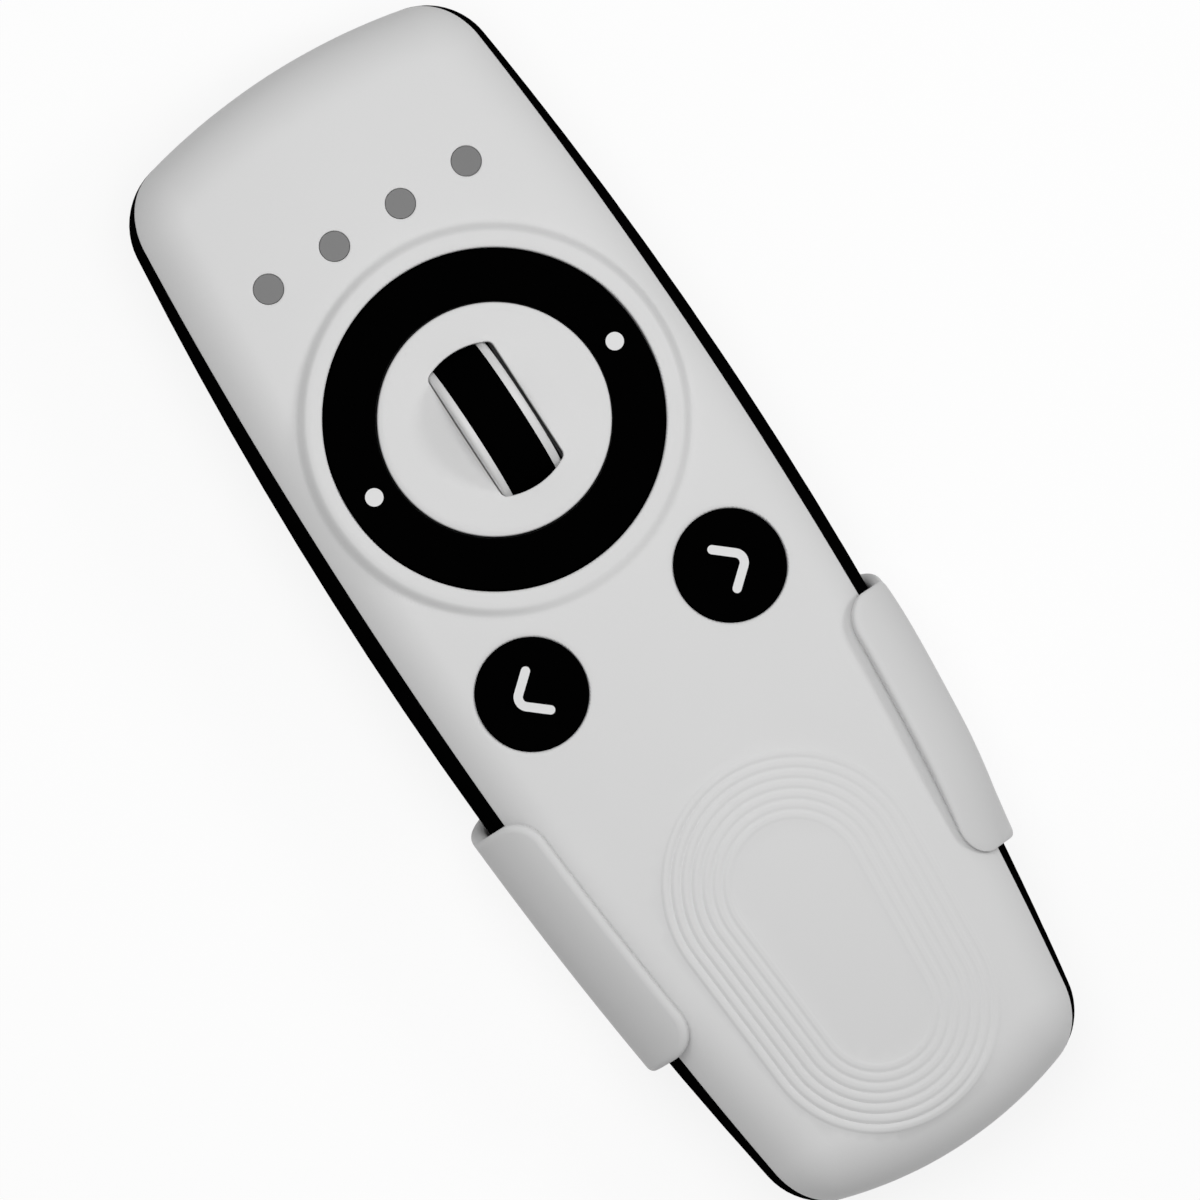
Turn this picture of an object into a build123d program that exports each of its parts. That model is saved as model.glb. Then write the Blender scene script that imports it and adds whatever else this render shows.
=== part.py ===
from build123d import *
import os
from math import asin, cos, sin, sqrt

os.makedirs("parts", exist_ok=True)

# A hand-held remote control for blinds and lights, seated in its wall holder. All sizes are in
# millimetres. X runs across the remote, Y along it towards its top end, and Z out of its face.
# It lies on the holder's back, which is z = 0, and y = 0 is half way along the remote.

# Stack along the remote, from its bottom end to its top end
bay_end_margin = 6.9
cell_length = 44.5
leaf_room = 3.6
plate_room = 1.1
bay_to_buttons = 10.4
buttons_to_wheel = 27.1
wheel_to_lights = 25.1
lights_to_top = 19.7

# Pebble shape of the body
half_width = 25.1
widest_below_wheel = 13.2
side_radius = 460.0
top_radius = 72.0
bottom_radius = 46.0
corner_radius = 8.0
body_depth = 18.4
cross_crown_radius = 250.0
long_crown_radius = 1200.0
face_edge_radius = 7.0
back_edge_radius = 8.0
shell_wall = 1.8

# Seam between the light front shell and the black back shell, as heights above the back
seam_height_widest = 15.0
seam_height_top = 13.0
seam_height_bottom = 11.7
seam_end_inset = 8.2
seam_end_radius = 11.0
seam_end_turn = 60
seam_reveal = 0.1
tongue_height = 1.2
tongue_clearance = 0.08

# Round control panel with the rocking ring and the centre disc
panel_rise = 0.45
panel_margin = 1.9
panel_wall = 1.9
panel_slope_height = 3.0
panel_slope_run = 1.6
panel_foot_fillet = 0.5
panel_edge_fillet = 0.5
ring_outer = 18.4
ring_inner = 12.9
ring_gap = 0.22
ring_plate = 1.6
ring_skirt_wall = 1.1
ring_skirt_depth = 3.8
ring_flange = 0.6
ring_flange_height = 0.9
ring_edge_fillet = 0.25
ring_foot_offset = 15.6
ring_foot_width = 4.0
ring_foot_depth = 2.2
pivot_radius = 1.0
pivot_clearance = 0.08
pivot_inner_x = 15.0
pivot_outer_x = 16.6
pivot_web_half = 0.6
saddle_half = 2.0
pivot_above_frame = 1.3
dot_radius = 1.0
dot_offset = 15.5
dot_depth = 0.6

# Centre disc with its dish and slot
disc_thickness = 2.0
dish_radius = 8.5
dish_depth = 0.9
slot_half_width = 4.05
slot_shift = 0.25
slot_end_radius = 8.45
slot_corner = 0.8
disc_leg_radius = 1.1
disc_leg_x = 9.0
disc_leg_y = 7.0

# Scroll wheel, its axle, and the cradle that it presses down
wheel_radius = 8.95
wheel_width = 7.4
wheel_depth = 4.9
rim_drop = 0.2
rim_fillet = 0.55
tyre_width = 5.5
tyre_thickness = 1.45
tyre_fillet = 0.5
hub_boss_radius = 2.4
hub_boss_height = 0.25
axle_radius = 1.0
running_clearance = 0.05
cradle_side_gap = 0.35
cradle_end_gap = 0.4
cradle_bar = 1.3
cradle_above_axle = 1.9
cradle_foot_reach = 5.6
cradle_foot_width = 3.2
cradle_foot_gap = 0.35
guide_clearance = 0.15
press_travel = 0.5
encoder_width = 2.4
encoder_half_length = 4.2
encoder_half_height = 2.7
encoder_cover = 0.45
axle_end_gap = 0.2
slot_running_gap = 0.2

# Round buttons beside each other below the panel
button_offset = 12.8
button_radius = 6.1
button_gap = 0.12
button_proud = 0.3
button_flange = 0.9
button_flange_gap = 0.3
button_stem_radius = 2.2
button_skirt_depth = 2.6
chevron_stroke = 1.0
chevron_half_height = 2.5
chevron_tip = 2.15
chevron_end = 0.77
chevron_bend = 1.05
inlay_depth = 0.6

# Row of light windows and the light guide behind them
light_pitch = 8.5
light_radius = 1.62
light_gap = 0.06
light_recess = 0.1
guide_below_crown = 3.5
guide_thickness = 1.5
guide_width = 4.0
guide_corner = 1.3
guide_leg_radius = 1.2
guide_overhang = 5.2
pipe_radius = 1.3

# Finger pad of egg-shaped grooves
pad_top_radius = 14.1
pad_bottom_radius = 13.0
pad_top_below_buttons = 32.6
pad_arc_spacing = 16.3
groove_count = 7
groove_pitch = 1.12
groove_width = 0.42
groove_depth = 0.18

# Inner frame, circuit board and what stands on it
frame_below_panel = 4.9
frame_plate = 1.4
frame_radius = 17.9
foot_clearance = 0.45
board_height = 6.0
board_thickness = 1.0
board_margin = 0.7
part_gap = 0.4
switch_side = 6.0
switch_height = 3.4
switch_stem_rise = 0.8
switch_stem_depth = 0.8
switch_bore_floor = 1.2
switch_stem_radius = 1.5
switch_bore_clearance = 0.08
ring_switch_clearance = 0.35
wheel_switch_x = 9.2
chip_side = 7.0
chip_height = 0.9
radio_length = 12.0
radio_width = 10.0
radio_height = 2.2
radio_x = 8.5
radio_corner = 0.75
crystal_radius = 1.5
crystal_length = 6.0
crystal_x = 5.5
crystal_foot_half = 0.75
antenna_length = 18.0
antenna_height = 4.0
antenna_strip = 0.4
antenna_width = 1.6
antenna_from_top = 5.6
antenna_bend = 1.0
light_chip_length = 1.6
light_chip_width = 1.2
light_chip_height = 0.7

# Case screws from the back through board and frame into the front shell
boss_radius = 2.6
boss_clearance = 0.7
screw_radius = 1.0
screw_hole_gap = 0.05
screw_head_radius = 1.9
screw_head_height = 1.1
screw_head_recess = 0.2
screw_bite = 2.2
screw_slot_half = 0.2
screw_slot_depth = 0.55

# Battery bay, its contacts and the sliding door
cell_radius = 5.25
cell_gap = 0.5
cell_clearance = 0.35
nub_radius = 1.9
nub_height = 0.8
cell_edge_fillet = 0.4
bay_wall = 1.2
bay_roof = 1.0
bay_inset = 0.2
door_half_width = 13.0
door_thickness = 1.5
door_tongue = 1.0
door_tongue_height = 0.7
door_clearance = 0.1
door_beyond_bay = 1.6
door_seat = 1.2
door_to_cell = 0.3
door_grip_count = 5
door_grip_pitch = 1.8
door_grip_width = 0.9
door_grip_depth = 0.35
door_grip_length = 14.0
door_grip_from_bay = 5.0
contact_strip = 0.3
contact_width = 6.0
contact_half_height = 3.6
contact_bump_radius = 2.0
leaf_tip_rise = 0.7
leaf_toe = 1.2
leaf_bend_radius = 0.7

# Pairing button in the back, above the holder's tongue
pairing_above_lights = 2.5
pairing_radius = 2.0
pairing_gap = 0.1
pairing_flange = 0.8
pairing_flange_height = 0.8
pairing_flange_gap = 0.2
pairing_recess = 0.3
pairing_height = 3.3
pairing_switch_side = 4.5
pairing_switch_height = 1.7
pairing_stem_radius = 0.8
pairing_stem_depth = 0.6

# Wall holder with two wings that wrap round the remote
holder_wall = 1.9
holder_gap = 0.25
wing_below_wheel = 37.4
wing_length = 31.2
wing_rise = 2.6
lip_reach = 4.1
lip_upper_corner = 3.5
lip_lower_corner = 3.9
lip_start_height = 11.0
tongue_half_width = 15.0
tongue_below_wheel = 12.2
tongue_corner = 6.0
tongue_above_wing_foot = 12.0
wall_screw_radius = 1.9
wall_screw_head_radius = 3.5
wall_screw_spacing = 40.0
wall_screw_below_wheel = 20.2

# Places along the remote
bay_length = leaf_room + cell_length + plate_room
stack = [bay_end_margin, bay_length, bay_to_buttons, buttons_to_wheel, wheel_to_lights, lights_to_top]
top_end = sum(stack) / 2
bottom_end = -top_end
bay_low = bottom_end + bay_end_margin
bay_high = bay_low + bay_length
buttons_y = bay_high + bay_to_buttons
wheel_y = buttons_y + buttons_to_wheel
lights_y = wheel_y + wheel_to_lights
widest_y = wheel_y - widest_below_wheel
pairing_y = lights_y + pairing_above_lights

# Heights
back_z = holder_wall + holder_gap
crown_z = back_z + body_depth
panel_z = crown_z + panel_rise
frame_top = panel_z - frame_below_panel
frame_low = frame_top - frame_plate
pivot_z = frame_top + pivot_above_frame
axle_z = panel_z - wheel_depth
board_low = back_z + board_height
board_top = board_low + board_thickness
switch_top = board_top + switch_height
stem_top = switch_top + switch_stem_rise
guide_top = crown_z - guide_below_crown
guide_low = guide_top - guide_thickness
door_top = back_z + door_thickness
cell_z = door_top + door_to_cell + cell_radius
bay_top = cell_z + cell_radius + door_to_cell

# Widths shared by pieces that fit each other
panel_radius = ring_outer + ring_gap + panel_margin
ring_hole_radius = ring_outer + ring_gap
disc_radius = ring_inner - ring_gap
flange_radius = ring_outer + ring_flange
boss_circle = flange_radius + boss_clearance + boss_radius
boss_offset = boss_circle / sqrt(2)
cell_x = cell_radius + cell_gap / 2
bay_half_width = cell_x + cell_radius + cell_clearance
hub_half_width = wheel_width / 2 + hub_boss_height
rim_radius = wheel_radius - rim_drop
cradle_inner_x = wheel_width / 2 + cradle_side_gap
cradle_outer_x = cradle_inner_x + cradle_bar
cradle_inner_y = wheel_radius + cradle_end_gap
cradle_outer_y = cradle_inner_y + cradle_bar
encoder_x = cradle_outer_x + encoder_width
wheel_axis = Pos(0, wheel_y, axle_z) * Rotation(0, 90, 0)
boss_places = [(x, wheel_y + y) for x in (-boss_offset, boss_offset) for y in (-boss_offset, boss_offset)]
light_places = [((i - 1.5) * light_pitch, lights_y) for i in range(4)]
ring_foot_places = [(0, wheel_y - ring_foot_offset), (0, wheel_y + ring_foot_offset)]
button_places = [(-button_offset, buttons_y), (button_offset, buttons_y)]


def block(x_low, x_high, y_low, y_high, z_low, z_high):
    """A box given by its limits along X, Y and Z."""
    centre = Pos((x_low + x_high) / 2, (y_low + y_high) / 2, (z_low + z_high) / 2)
    return centre * Box(x_high - x_low, y_high - y_low, z_high - z_low)


def rod(x, y, z_low, z_high, radius):
    """An upright cylinder between two heights."""
    base = Pos(x, y, z_low)
    return base * Cylinder(radius, z_high - z_low, align=(Align.CENTER, Align.CENTER, Align.MIN))


def cross_rod(x_low, x_high, y, z, radius):
    """A cylinder that runs across the remote."""
    return Pos((x_low + x_high) / 2, y, z) * Rotation(0, 90, 0) * Cylinder(radius, x_high - x_low)


def side_view(x_low, x_high, shape):
    """A side-view face, drawn in Y and Z, given its extent across the remote."""
    return extrude(Plane.YZ.offset(x_low) * shape, x_high - x_low, dir=(1, 0, 0))


def corner_point(grow, end_y, end_radius, side):
    """Where the right side's arc meets an end's arc, both grown outwards."""
    side_centre = Vector(half_width - side_radius, widest_y)
    end_centre = Vector(0, end_y)
    gap = (end_centre - side_centre).length
    reach = side_radius + grow
    along = (gap**2 + reach**2 - (end_radius + grow) ** 2) / (2 * gap)
    across = side * sqrt(reach**2 - along**2)
    direction = (end_centre - side_centre) / gap
    return side_centre + direction * along + Vector(-direction.Y, direction.X) * across


def outline(grow):
    """Plan of the remote, grown outwards: two long side arcs, two end arcs, rounded corners."""
    top = corner_point(grow, top_end - top_radius, top_radius, 1)
    low = corner_point(grow, bottom_end + bottom_radius, bottom_radius, -1)
    corners = [low, top, Vector(-top.X, top.Y), Vector(-low.X, low.Y)]
    middles = [
        (half_width + grow, widest_y),
        (0, top_end + grow),
        (-half_width - grow, widest_y),
        (0, bottom_end - grow),
    ]
    arcs = []
    for start, middle, end in zip(corners, middles, corners[1:] + corners[:1]):
        arcs.append(ThreePointArc(start, middle, end))
    plan = make_face(arcs)
    return fillet(plan.vertices(), corner_radius + grow)


def pebble(grow):
    """The remote's whole outer form, grown outwards by the same distance everywhere."""
    body = extrude(Pos(0, 0, back_z - grow) * outline(grow), body_depth + 2 * grow + 1)
    crown_ring = Torus(long_crown_radius - cross_crown_radius, cross_crown_radius + grow)
    body &= Pos(0, widest_y, crown_z - long_crown_radius) * Rotation(0, 90, 0) * crown_ring
    body = fillet(body.faces().sort_by(Axis.Z)[-1].edges(), face_edge_radius + grow)
    return fillet(body.faces().sort_by(Axis.Z)[0].edges(), back_edge_radius + grow)


def above_seam(drop):
    """Everything above the arched seam, lowered by drop."""
    low = (bottom_end + seam_end_inset, back_z + seam_height_bottom)
    middle = (widest_y, back_z + seam_height_widest)
    high = (top_end - seam_end_inset, back_z + seam_height_top)
    arch = ThreePointArc(low, middle, high)
    top_dive = JernArc(high, arch % 1, seam_end_radius, -seam_end_turn)
    bottom_dive = JernArc(low, -(arch % 0), seam_end_radius, seam_end_turn)
    sky = crown_z + 2 * body_depth
    far = top_end + 2 * corner_radius
    rest = Polyline(top_dive @ 1, (far, (top_dive @ 1).Y), (far, sky), (-far, sky),
                    (-far, (bottom_dive @ 1).Y), bottom_dive @ 1)
    face = make_face([arch, top_dive, rest, bottom_dive])
    return Pos(0, 0, -drop) * side_view(-2 * half_width, 2 * half_width, face)


outer_body = pebble(0)
inner_body = pebble(-shell_wall)
tongue_body = pebble(-shell_wall / 2)
button_skin = pebble(button_proud)
inlay_skin = button_skin - pebble(button_proud - inlay_depth)


def groove_layer():
    """The egg-shaped rings of the finger pad, as a thin layer at the face."""
    top_y = buttons_y - pad_top_below_buttons
    rings = Sketch()
    for i in range(groove_count):
        egg_faces = []
        for half in (groove_width / 2, -groove_width / 2):
            shrink = i * groove_pitch - half
            circles = Pos(0, top_y) * Circle(pad_top_radius - shrink)
            lower = Pos(0, top_y - pad_arc_spacing) * Circle(pad_bottom_radius - shrink)
            egg_faces.append(make_hull(circles.edges() + lower.edges()))
        rings += egg_faces[0] - egg_faces[1]
    tall = extrude(Pos(0, 0, crown_z - 2 * shell_wall) * rings, 3 * shell_wall)
    return tall - pebble(-groove_depth)


def is_panel_foot(edge):
    """Whether an edge is where the panel's slope meets the crown."""
    middle = edge.position_at(0.5)
    reach = sqrt(middle.X**2 + (middle.Y - wheel_y) ** 2)
    on_slope = panel_radius < reach < panel_radius + panel_slope_run
    return on_slope and edge.geom_type == GeomType.BSPLINE


def front_shell():
    """Light upper shell with the raised round panel, wrapped over both ends."""
    upright = (Align.CENTER, Align.CENTER, Align.MAX)
    slope = Cone(panel_radius + panel_slope_run, panel_radius, panel_slope_height, align=upright)
    skin = (outer_body & above_seam(-seam_reveal)) + Pos(0, wheel_y, panel_z) * slope
    skin = fillet(skin.edges().filter_by(is_panel_foot), panel_foot_fillet)
    skin = fillet(skin.edges().group_by(Axis.Z)[-1], panel_edge_fillet)
    shell = skin + (tongue_body & above_seam(tongue_height))
    shell -= inner_body
    shell -= rod(0, wheel_y, back_z, panel_z - panel_wall, flange_radius + ring_gap)
    for x, y in boss_places:
        shell += rod(x, y, frame_top, crown_z, boss_radius) & tongue_body
    shell -= rod(0, wheel_y, back_z, 2 * panel_z, ring_hole_radius)
    for x, y in boss_places:
        shell -= rod(x, y, back_z, frame_top + screw_bite + screw_hole_gap, screw_radius + screw_hole_gap)
    for x, y in light_places:
        shell -= rod(x, y, back_z, 2 * crown_z, light_radius + light_gap)
    for x, y in button_places:
        shell -= rod(x, y, back_z, 2 * crown_z, button_radius + button_gap)
    return shell - groove_layer()


def back_shell():
    """Black lower shell with the battery bay, the door's rails and the screw bosses."""
    seat_top = door_top + door_clearance + door_seat
    wall_x = bay_half_width + bay_wall
    shell = outer_body - inner_body
    rail_x = door_half_width + door_tongue + door_clearance + door_seat
    bay_block = block(-wall_x, wall_x, bay_low - bay_wall, bay_high + bay_wall, back_z, bay_top + bay_roof)
    seat_y = bay_high + door_beyond_bay + door_clearance + door_seat
    seat = block(-rail_x, rail_x, 2 * bottom_end, seat_y, back_z, seat_top)
    shell -= above_seam(0)
    shell -= pebble(-shell_wall / 2 + tongue_clearance) & above_seam(tongue_height + tongue_clearance)
    shell += bay_block & pebble(-shell_wall - bay_inset)
    shell += seat & pebble(-tongue_clearance)
    for x, y in boss_places:
        shell += rod(x, y, back_z + shell_wall / 2, board_low, boss_radius)
    shell -= block(-bay_half_width, bay_half_width, bay_low, bay_high, 0, bay_top)
    shell -= door_shape(door_clearance)
    head_top = back_z + screw_head_recess + screw_head_height
    for x, y in boss_places:
        shell -= rod(x, y, 0, board_top, screw_radius + screw_hole_gap)
        shell -= rod(x, y, 0, head_top, screw_head_radius + screw_hole_gap)
    return shell - rod(0, pairing_y, 0, board_low, pairing_radius + pairing_gap)


def door_shape(grow):
    """Cross-section of the sliding door along its whole way out of the bottom end."""
    y_high = bay_high + door_beyond_bay + grow
    tongue_low = door_top - door_tongue_height - grow
    tongue_x = door_half_width + door_tongue + grow
    plate = block(-door_half_width - grow, door_half_width + grow, 2 * bottom_end, y_high, 0, door_top + grow)
    return plate + block(-tongue_x, tongue_x, 2 * bottom_end, y_high, tongue_low, door_top + grow)


def battery_door():
    """Flat cover whose side tongues run in the back shell's rails, with a ribbed thumb grip."""
    door = door_shape(0) & outer_body
    grip_y = bay_low + door_grip_from_bay
    for i in range(door_grip_count):
        y = grip_y + i * door_grip_pitch
        door -= block(-door_grip_length / 2, door_grip_length / 2, y, y + door_grip_width,
                      back_z, back_z + door_grip_depth)
    return door


def inner_frame():
    """Carrier plate under the panel, with posts, pivot saddles and the cradle's guide."""
    frame = rod(0, wheel_y, frame_low, frame_top, frame_radius)
    for angle in (45, 135):
        bar = Box(2 * boss_circle, 2 * boss_radius, frame_plate)
        frame += Pos(0, wheel_y, (frame_low + frame_top) / 2) * Rotation(0, 0, angle) * bar
    for x, y in boss_places:
        frame += rod(x, y, board_top, frame_top, boss_radius)
    for x, y in ring_foot_places:
        half_x = ring_foot_width / 2 + foot_clearance
        half_y = ring_foot_depth / 2 + foot_clearance
        frame -= block(x - half_x, x + half_x, y - half_y, y + half_y, frame_low, frame_top)
    for side in (-1, 1):
        near_x = side * (pivot_inner_x - pivot_clearance)
        far_x = side * (pivot_outer_x + pivot_clearance)
        x_low, x_high = sorted((near_x, far_x))
        saddle = block(x_low, x_high, wheel_y - saddle_half, wheel_y + saddle_half, frame_low, pivot_z)
        frame += saddle - cross_rod(x_low, x_high, wheel_y, pivot_z, pivot_radius + pivot_clearance)
    guide_x = cradle_outer_x + guide_clearance
    guide_y = cradle_outer_y + guide_clearance
    frame -= block(-guide_x, guide_x, wheel_y - guide_y, wheel_y + guide_y, frame_low, frame_top)
    encoder_y = encoder_half_length + guide_clearance
    frame -= block(0, encoder_x + guide_clearance, wheel_y - encoder_y, wheel_y + encoder_y,
                   frame_low, frame_top)
    for x, y in boss_places:
        frame -= rod(x, y, board_top, frame_top, screw_radius + screw_hole_gap)
    return frame


def rocker_ring():
    """Black ring that rocks about its 3 and 9 o'clock pivots onto two switches."""
    ring = rod(0, wheel_y, panel_z - ring_plate, panel_z, ring_outer)
    ring -= rod(0, wheel_y, panel_z - ring_plate, panel_z, ring_inner)
    ring = fillet(ring.edges().group_by(Axis.Z)[-1], ring_edge_fillet)
    skirt_low = panel_z - ring_skirt_depth
    ring += rod(0, wheel_y, skirt_low, panel_z - ring_plate, ring_outer)
    ring += rod(0, wheel_y, skirt_low, skirt_low + ring_flange_height, flange_radius)
    ring -= rod(0, wheel_y, skirt_low, panel_z - ring_plate, ring_outer - ring_skirt_wall)
    for x, y in ring_foot_places:
        half_x = ring_foot_width / 2
        half_y = ring_foot_depth / 2
        ring += block(x - half_x, x + half_x, y - half_y, y + half_y, stem_top, panel_z - ring_plate)
    for side in (-1, 1):
        x_low, x_high = sorted((side * pivot_inner_x, side * pivot_outer_x))
        ring += cross_rod(x_low, x_high, wheel_y, pivot_z, pivot_radius)
        ring += block(x_low, x_high, wheel_y - pivot_web_half, wheel_y + pivot_web_half,
                      pivot_z, panel_z - ring_plate)
    for side in (-1, 1):
        ring -= rod(side * dot_offset, wheel_y, panel_z - dot_depth, panel_z, dot_radius)
    return ring


def ring_dots():
    """Two white dots moulded into the ring."""
    dots = Part()
    for side in (-1, 1):
        dots += rod(side * dot_offset, wheel_y, panel_z - dot_depth, panel_z, dot_radius)
    return dots


def dish_cut():
    """Shallow dish of the centre disc: two tangent arcs turned about its middle."""
    half = dish_radius / 2
    slope_radius = (half**2 + (dish_depth / 2) ** 2) / dish_depth
    turn = asin(half / slope_radius) / 2
    run = slope_radius * sin(turn)
    rise = slope_radius * (1 - cos(turn))
    bottom = panel_z - dish_depth
    middle = (half, panel_z - dish_depth / 2)
    inside = ThreePointArc((0, bottom), (run, bottom + rise), middle)
    outside = ThreePointArc(middle, (dish_radius - run, panel_z - rise), (dish_radius, panel_z))
    close = Polyline((dish_radius, panel_z), (dish_radius, panel_z + 1), (0, panel_z + 1), (0, bottom))
    turned = revolve(Plane.XZ * make_face([inside, outside, close]), Axis.Z)
    return Pos(0, wheel_y, 0) * turned


def wheel_bezel():
    """Light centre disc with a dish round the scroll wheel's slot, on four legs."""
    disc = rod(0, wheel_y, panel_z - disc_thickness, panel_z, disc_radius)
    disc = fillet(disc.edges().group_by(Axis.Z)[-1], ring_edge_fillet)
    for x in (-disc_leg_x, disc_leg_x):
        for y in (wheel_y - disc_leg_y, wheel_y + disc_leg_y):
            disc += rod(x, y, frame_top, panel_z - disc_thickness, disc_leg_radius)
    slot = (Pos(slot_shift, 0) * Rectangle(2 * slot_half_width, 4 * dish_radius)) & Circle(slot_end_radius)
    slot = fillet(slot.vertices(), slot_corner)
    disc -= dish_cut()
    disc -= extrude(Pos(0, wheel_y, frame_top) * slot, panel_z)
    rims = Cylinder(rim_radius + slot_running_gap, wheel_width + 2 * slot_running_gap)
    rims = fillet(rims.edges().filter_by(GeomType.CIRCLE), rim_fillet + slot_running_gap)
    tread = Cylinder(wheel_radius + slot_running_gap, tyre_width + 2 * slot_running_gap)
    slot_band = block(slot_shift - slot_half_width, slot_shift + slot_half_width, 0, top_end, 0, 2 * panel_z)
    return disc - (wheel_axis * (rims + tread) & slot_band)


def wheel_hub():
    """Light plastic spool of the scroll wheel: two rims with a groove for the rubber tyre."""
    hub = Cylinder(rim_radius, wheel_width)
    hub = fillet(hub.edges().filter_by(GeomType.CIRCLE), rim_fillet)
    hub += Cylinder(hub_boss_radius, 2 * hub_half_width)
    groove = Cylinder(rim_radius + 1, tyre_width) - Cylinder(wheel_radius - tyre_thickness, tyre_width)
    hub -= groove
    hub -= Cylinder(axle_radius, 2 * hub_half_width)
    return wheel_axis * hub


def wheel_tyre():
    """Black rubber tread stretched into the hub's groove."""
    tyre = Cylinder(wheel_radius, tyre_width)
    tyre = fillet(tyre.edges().filter_by(GeomType.CIRCLE), tyre_fillet)
    return wheel_axis * (tyre - Cylinder(wheel_radius - tyre_thickness, tyre_width))


def wheel_axle():
    """Steel pin pressed through the hub, running in the cradle and the encoder."""
    return cross_rod(-cradle_outer_x, encoder_x - encoder_cover - axle_end_gap, wheel_y, axle_z, axle_radius)


def wheel_cradle():
    """Frame round the wheel that carries its axle and slides down onto a switch."""
    top = axle_z + cradle_above_axle
    cradle = block(-cradle_outer_x, cradle_outer_x, wheel_y - cradle_outer_y, wheel_y + cradle_outer_y,
                   stem_top, top)
    cradle -= block(-cradle_inner_x, cradle_inner_x, wheel_y - cradle_inner_y, wheel_y + cradle_inner_y,
                    stem_top, top)
    foot_y = cradle_foot_width / 2
    foot_top = frame_low - cradle_foot_gap
    cradle += block(-cradle_outer_x - cradle_foot_reach, -cradle_outer_x, wheel_y - foot_y, wheel_y + foot_y,
                    stem_top, foot_top)
    return cradle - cross_rod(-encoder_x, encoder_x, wheel_y, axle_z, axle_radius + running_clearance)


def wheel_encoder():
    """Encoder housing on the cradle that senses the axle's turns."""
    body = block(cradle_outer_x, encoder_x, wheel_y - encoder_half_length, wheel_y + encoder_half_length,
                 axle_z - encoder_half_height, axle_z + encoder_half_height)
    return body - cross_rod(0, encoder_x - encoder_cover, wheel_y, axle_z, axle_radius + running_clearance)


def chevron(x, y, side):
    """Arrow head pointing outwards, cut to the thin layer under the button's skin."""
    points = [(x - side * chevron_end, y + chevron_half_height), (x + side * chevron_tip, y),
              (x - side * chevron_end, y - chevron_half_height)]
    stroke = trace(FilletPolyline(*points, radius=chevron_bend), chevron_stroke)
    for end_x, end_y in (points[0], points[-1]):
        stroke += Pos(end_x, end_y) * Circle(chevron_stroke / 2)
    tall = extrude(Pos(0, 0, stem_top) * stroke, crown_z)
    return tall & inlay_skin


def channel_button(x, y, side):
    """Black round key whose flange stays under the front shell."""
    low = stem_top + button_skirt_depth
    key = rod(x, y, low, 2 * crown_z, button_radius) & button_skin
    flange = rod(x, y, low, 2 * crown_z, button_radius + button_flange)
    key += flange & pebble(-shell_wall - button_flange_gap)
    key += rod(x, y, stem_top, low, button_stem_radius)
    return key - chevron(x, y, side)


def switch_body(x, y, clearance):
    """Square tact switch on the board, with a bore for its stem."""
    half = switch_side / 2
    body = block(x - half, x + half, y - half, y + half, board_top, switch_top)
    return body - rod(x, y, board_top + switch_bore_floor, switch_top, switch_stem_radius + clearance)


def switch_stem(x, y):
    """Stem of a tact switch, resting against what presses it."""
    return rod(x, y, switch_top - switch_stem_depth, stem_top, switch_stem_radius)


def main_board():
    """Circuit board above the battery bay's upper wall, slotted for the wheel."""
    board = extrude(Pos(0, 0, board_low) * outline(-shell_wall - board_margin), board_thickness)
    low = bay_high + bay_wall + part_gap
    board &= block(-half_width, half_width, low, top_end, board_low, board_top)
    slot_x = wheel_width / 2 + cradle_end_gap
    drop = axle_z - press_travel - board_top
    slot_y = sqrt(wheel_radius**2 - drop**2) + cradle_end_gap
    board -= block(-slot_x, slot_x, wheel_y - slot_y, wheel_y + slot_y, board_low, board_top)
    for x, y in boss_places:
        board -= rod(x, y, board_low, board_top, screw_radius + screw_hole_gap)
    return board


def light_guide():
    """Clear grey moulding: four windows, the bar that joins them, and light pipes to the board."""
    bar_x = 1.5 * light_pitch + guide_overhang
    bar = block(-bar_x, bar_x, lights_y - guide_width / 2, lights_y + guide_width / 2, guide_low, guide_top)
    bar = fillet(bar.edges().filter_by(Axis.Z), guide_corner)
    skin = pebble(-light_recess)
    pipe_low = board_top + light_chip_height + part_gap
    for x, y in light_places:
        bar += rod(x, y, guide_top, 2 * crown_z, light_radius) & skin
        bar += rod(x, y, pipe_low, guide_low, pipe_radius)
    for x in (-bar_x + guide_leg_radius, bar_x - guide_leg_radius):
        bar += rod(x, lights_y, board_top, guide_low, guide_leg_radius)
    return bar


def indicator_lights():
    """Four light-emitting chips under the light pipes."""
    chips = Part()
    for x, y in light_places:
        chips += block(x - light_chip_length / 2, x + light_chip_length / 2, y - light_chip_width / 2,
                       y + light_chip_width / 2, board_top, board_top + light_chip_height)
    return chips


def processor_chip():
    """Flat controller package between the two round buttons' switches."""
    half = chip_side / 2
    return block(-half, half, buttons_y - half, buttons_y + half, board_top, board_top + chip_height)


def radio_module():
    """Shielding can of the radio, near the top end."""
    y = lights_y + guide_width / 2 + part_gap
    can = block(radio_x - radio_length / 2, radio_x + radio_length / 2, y, y + radio_width, board_top,
                board_top + radio_height)
    return fillet(can.edges().filter_by(Axis.Z), radio_corner)


def crystal():
    """Small clock crystal lying on the board."""
    y = lights_y + guide_width / 2 + crystal_radius + part_gap
    can = cross_rod(-crystal_x - crystal_length, -crystal_x, y, board_top + crystal_radius, crystal_radius)
    return can + block(-crystal_x - crystal_length, -crystal_x, y - crystal_foot_half, y + crystal_foot_half,
                       board_top, board_top + crystal_radius)


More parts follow.
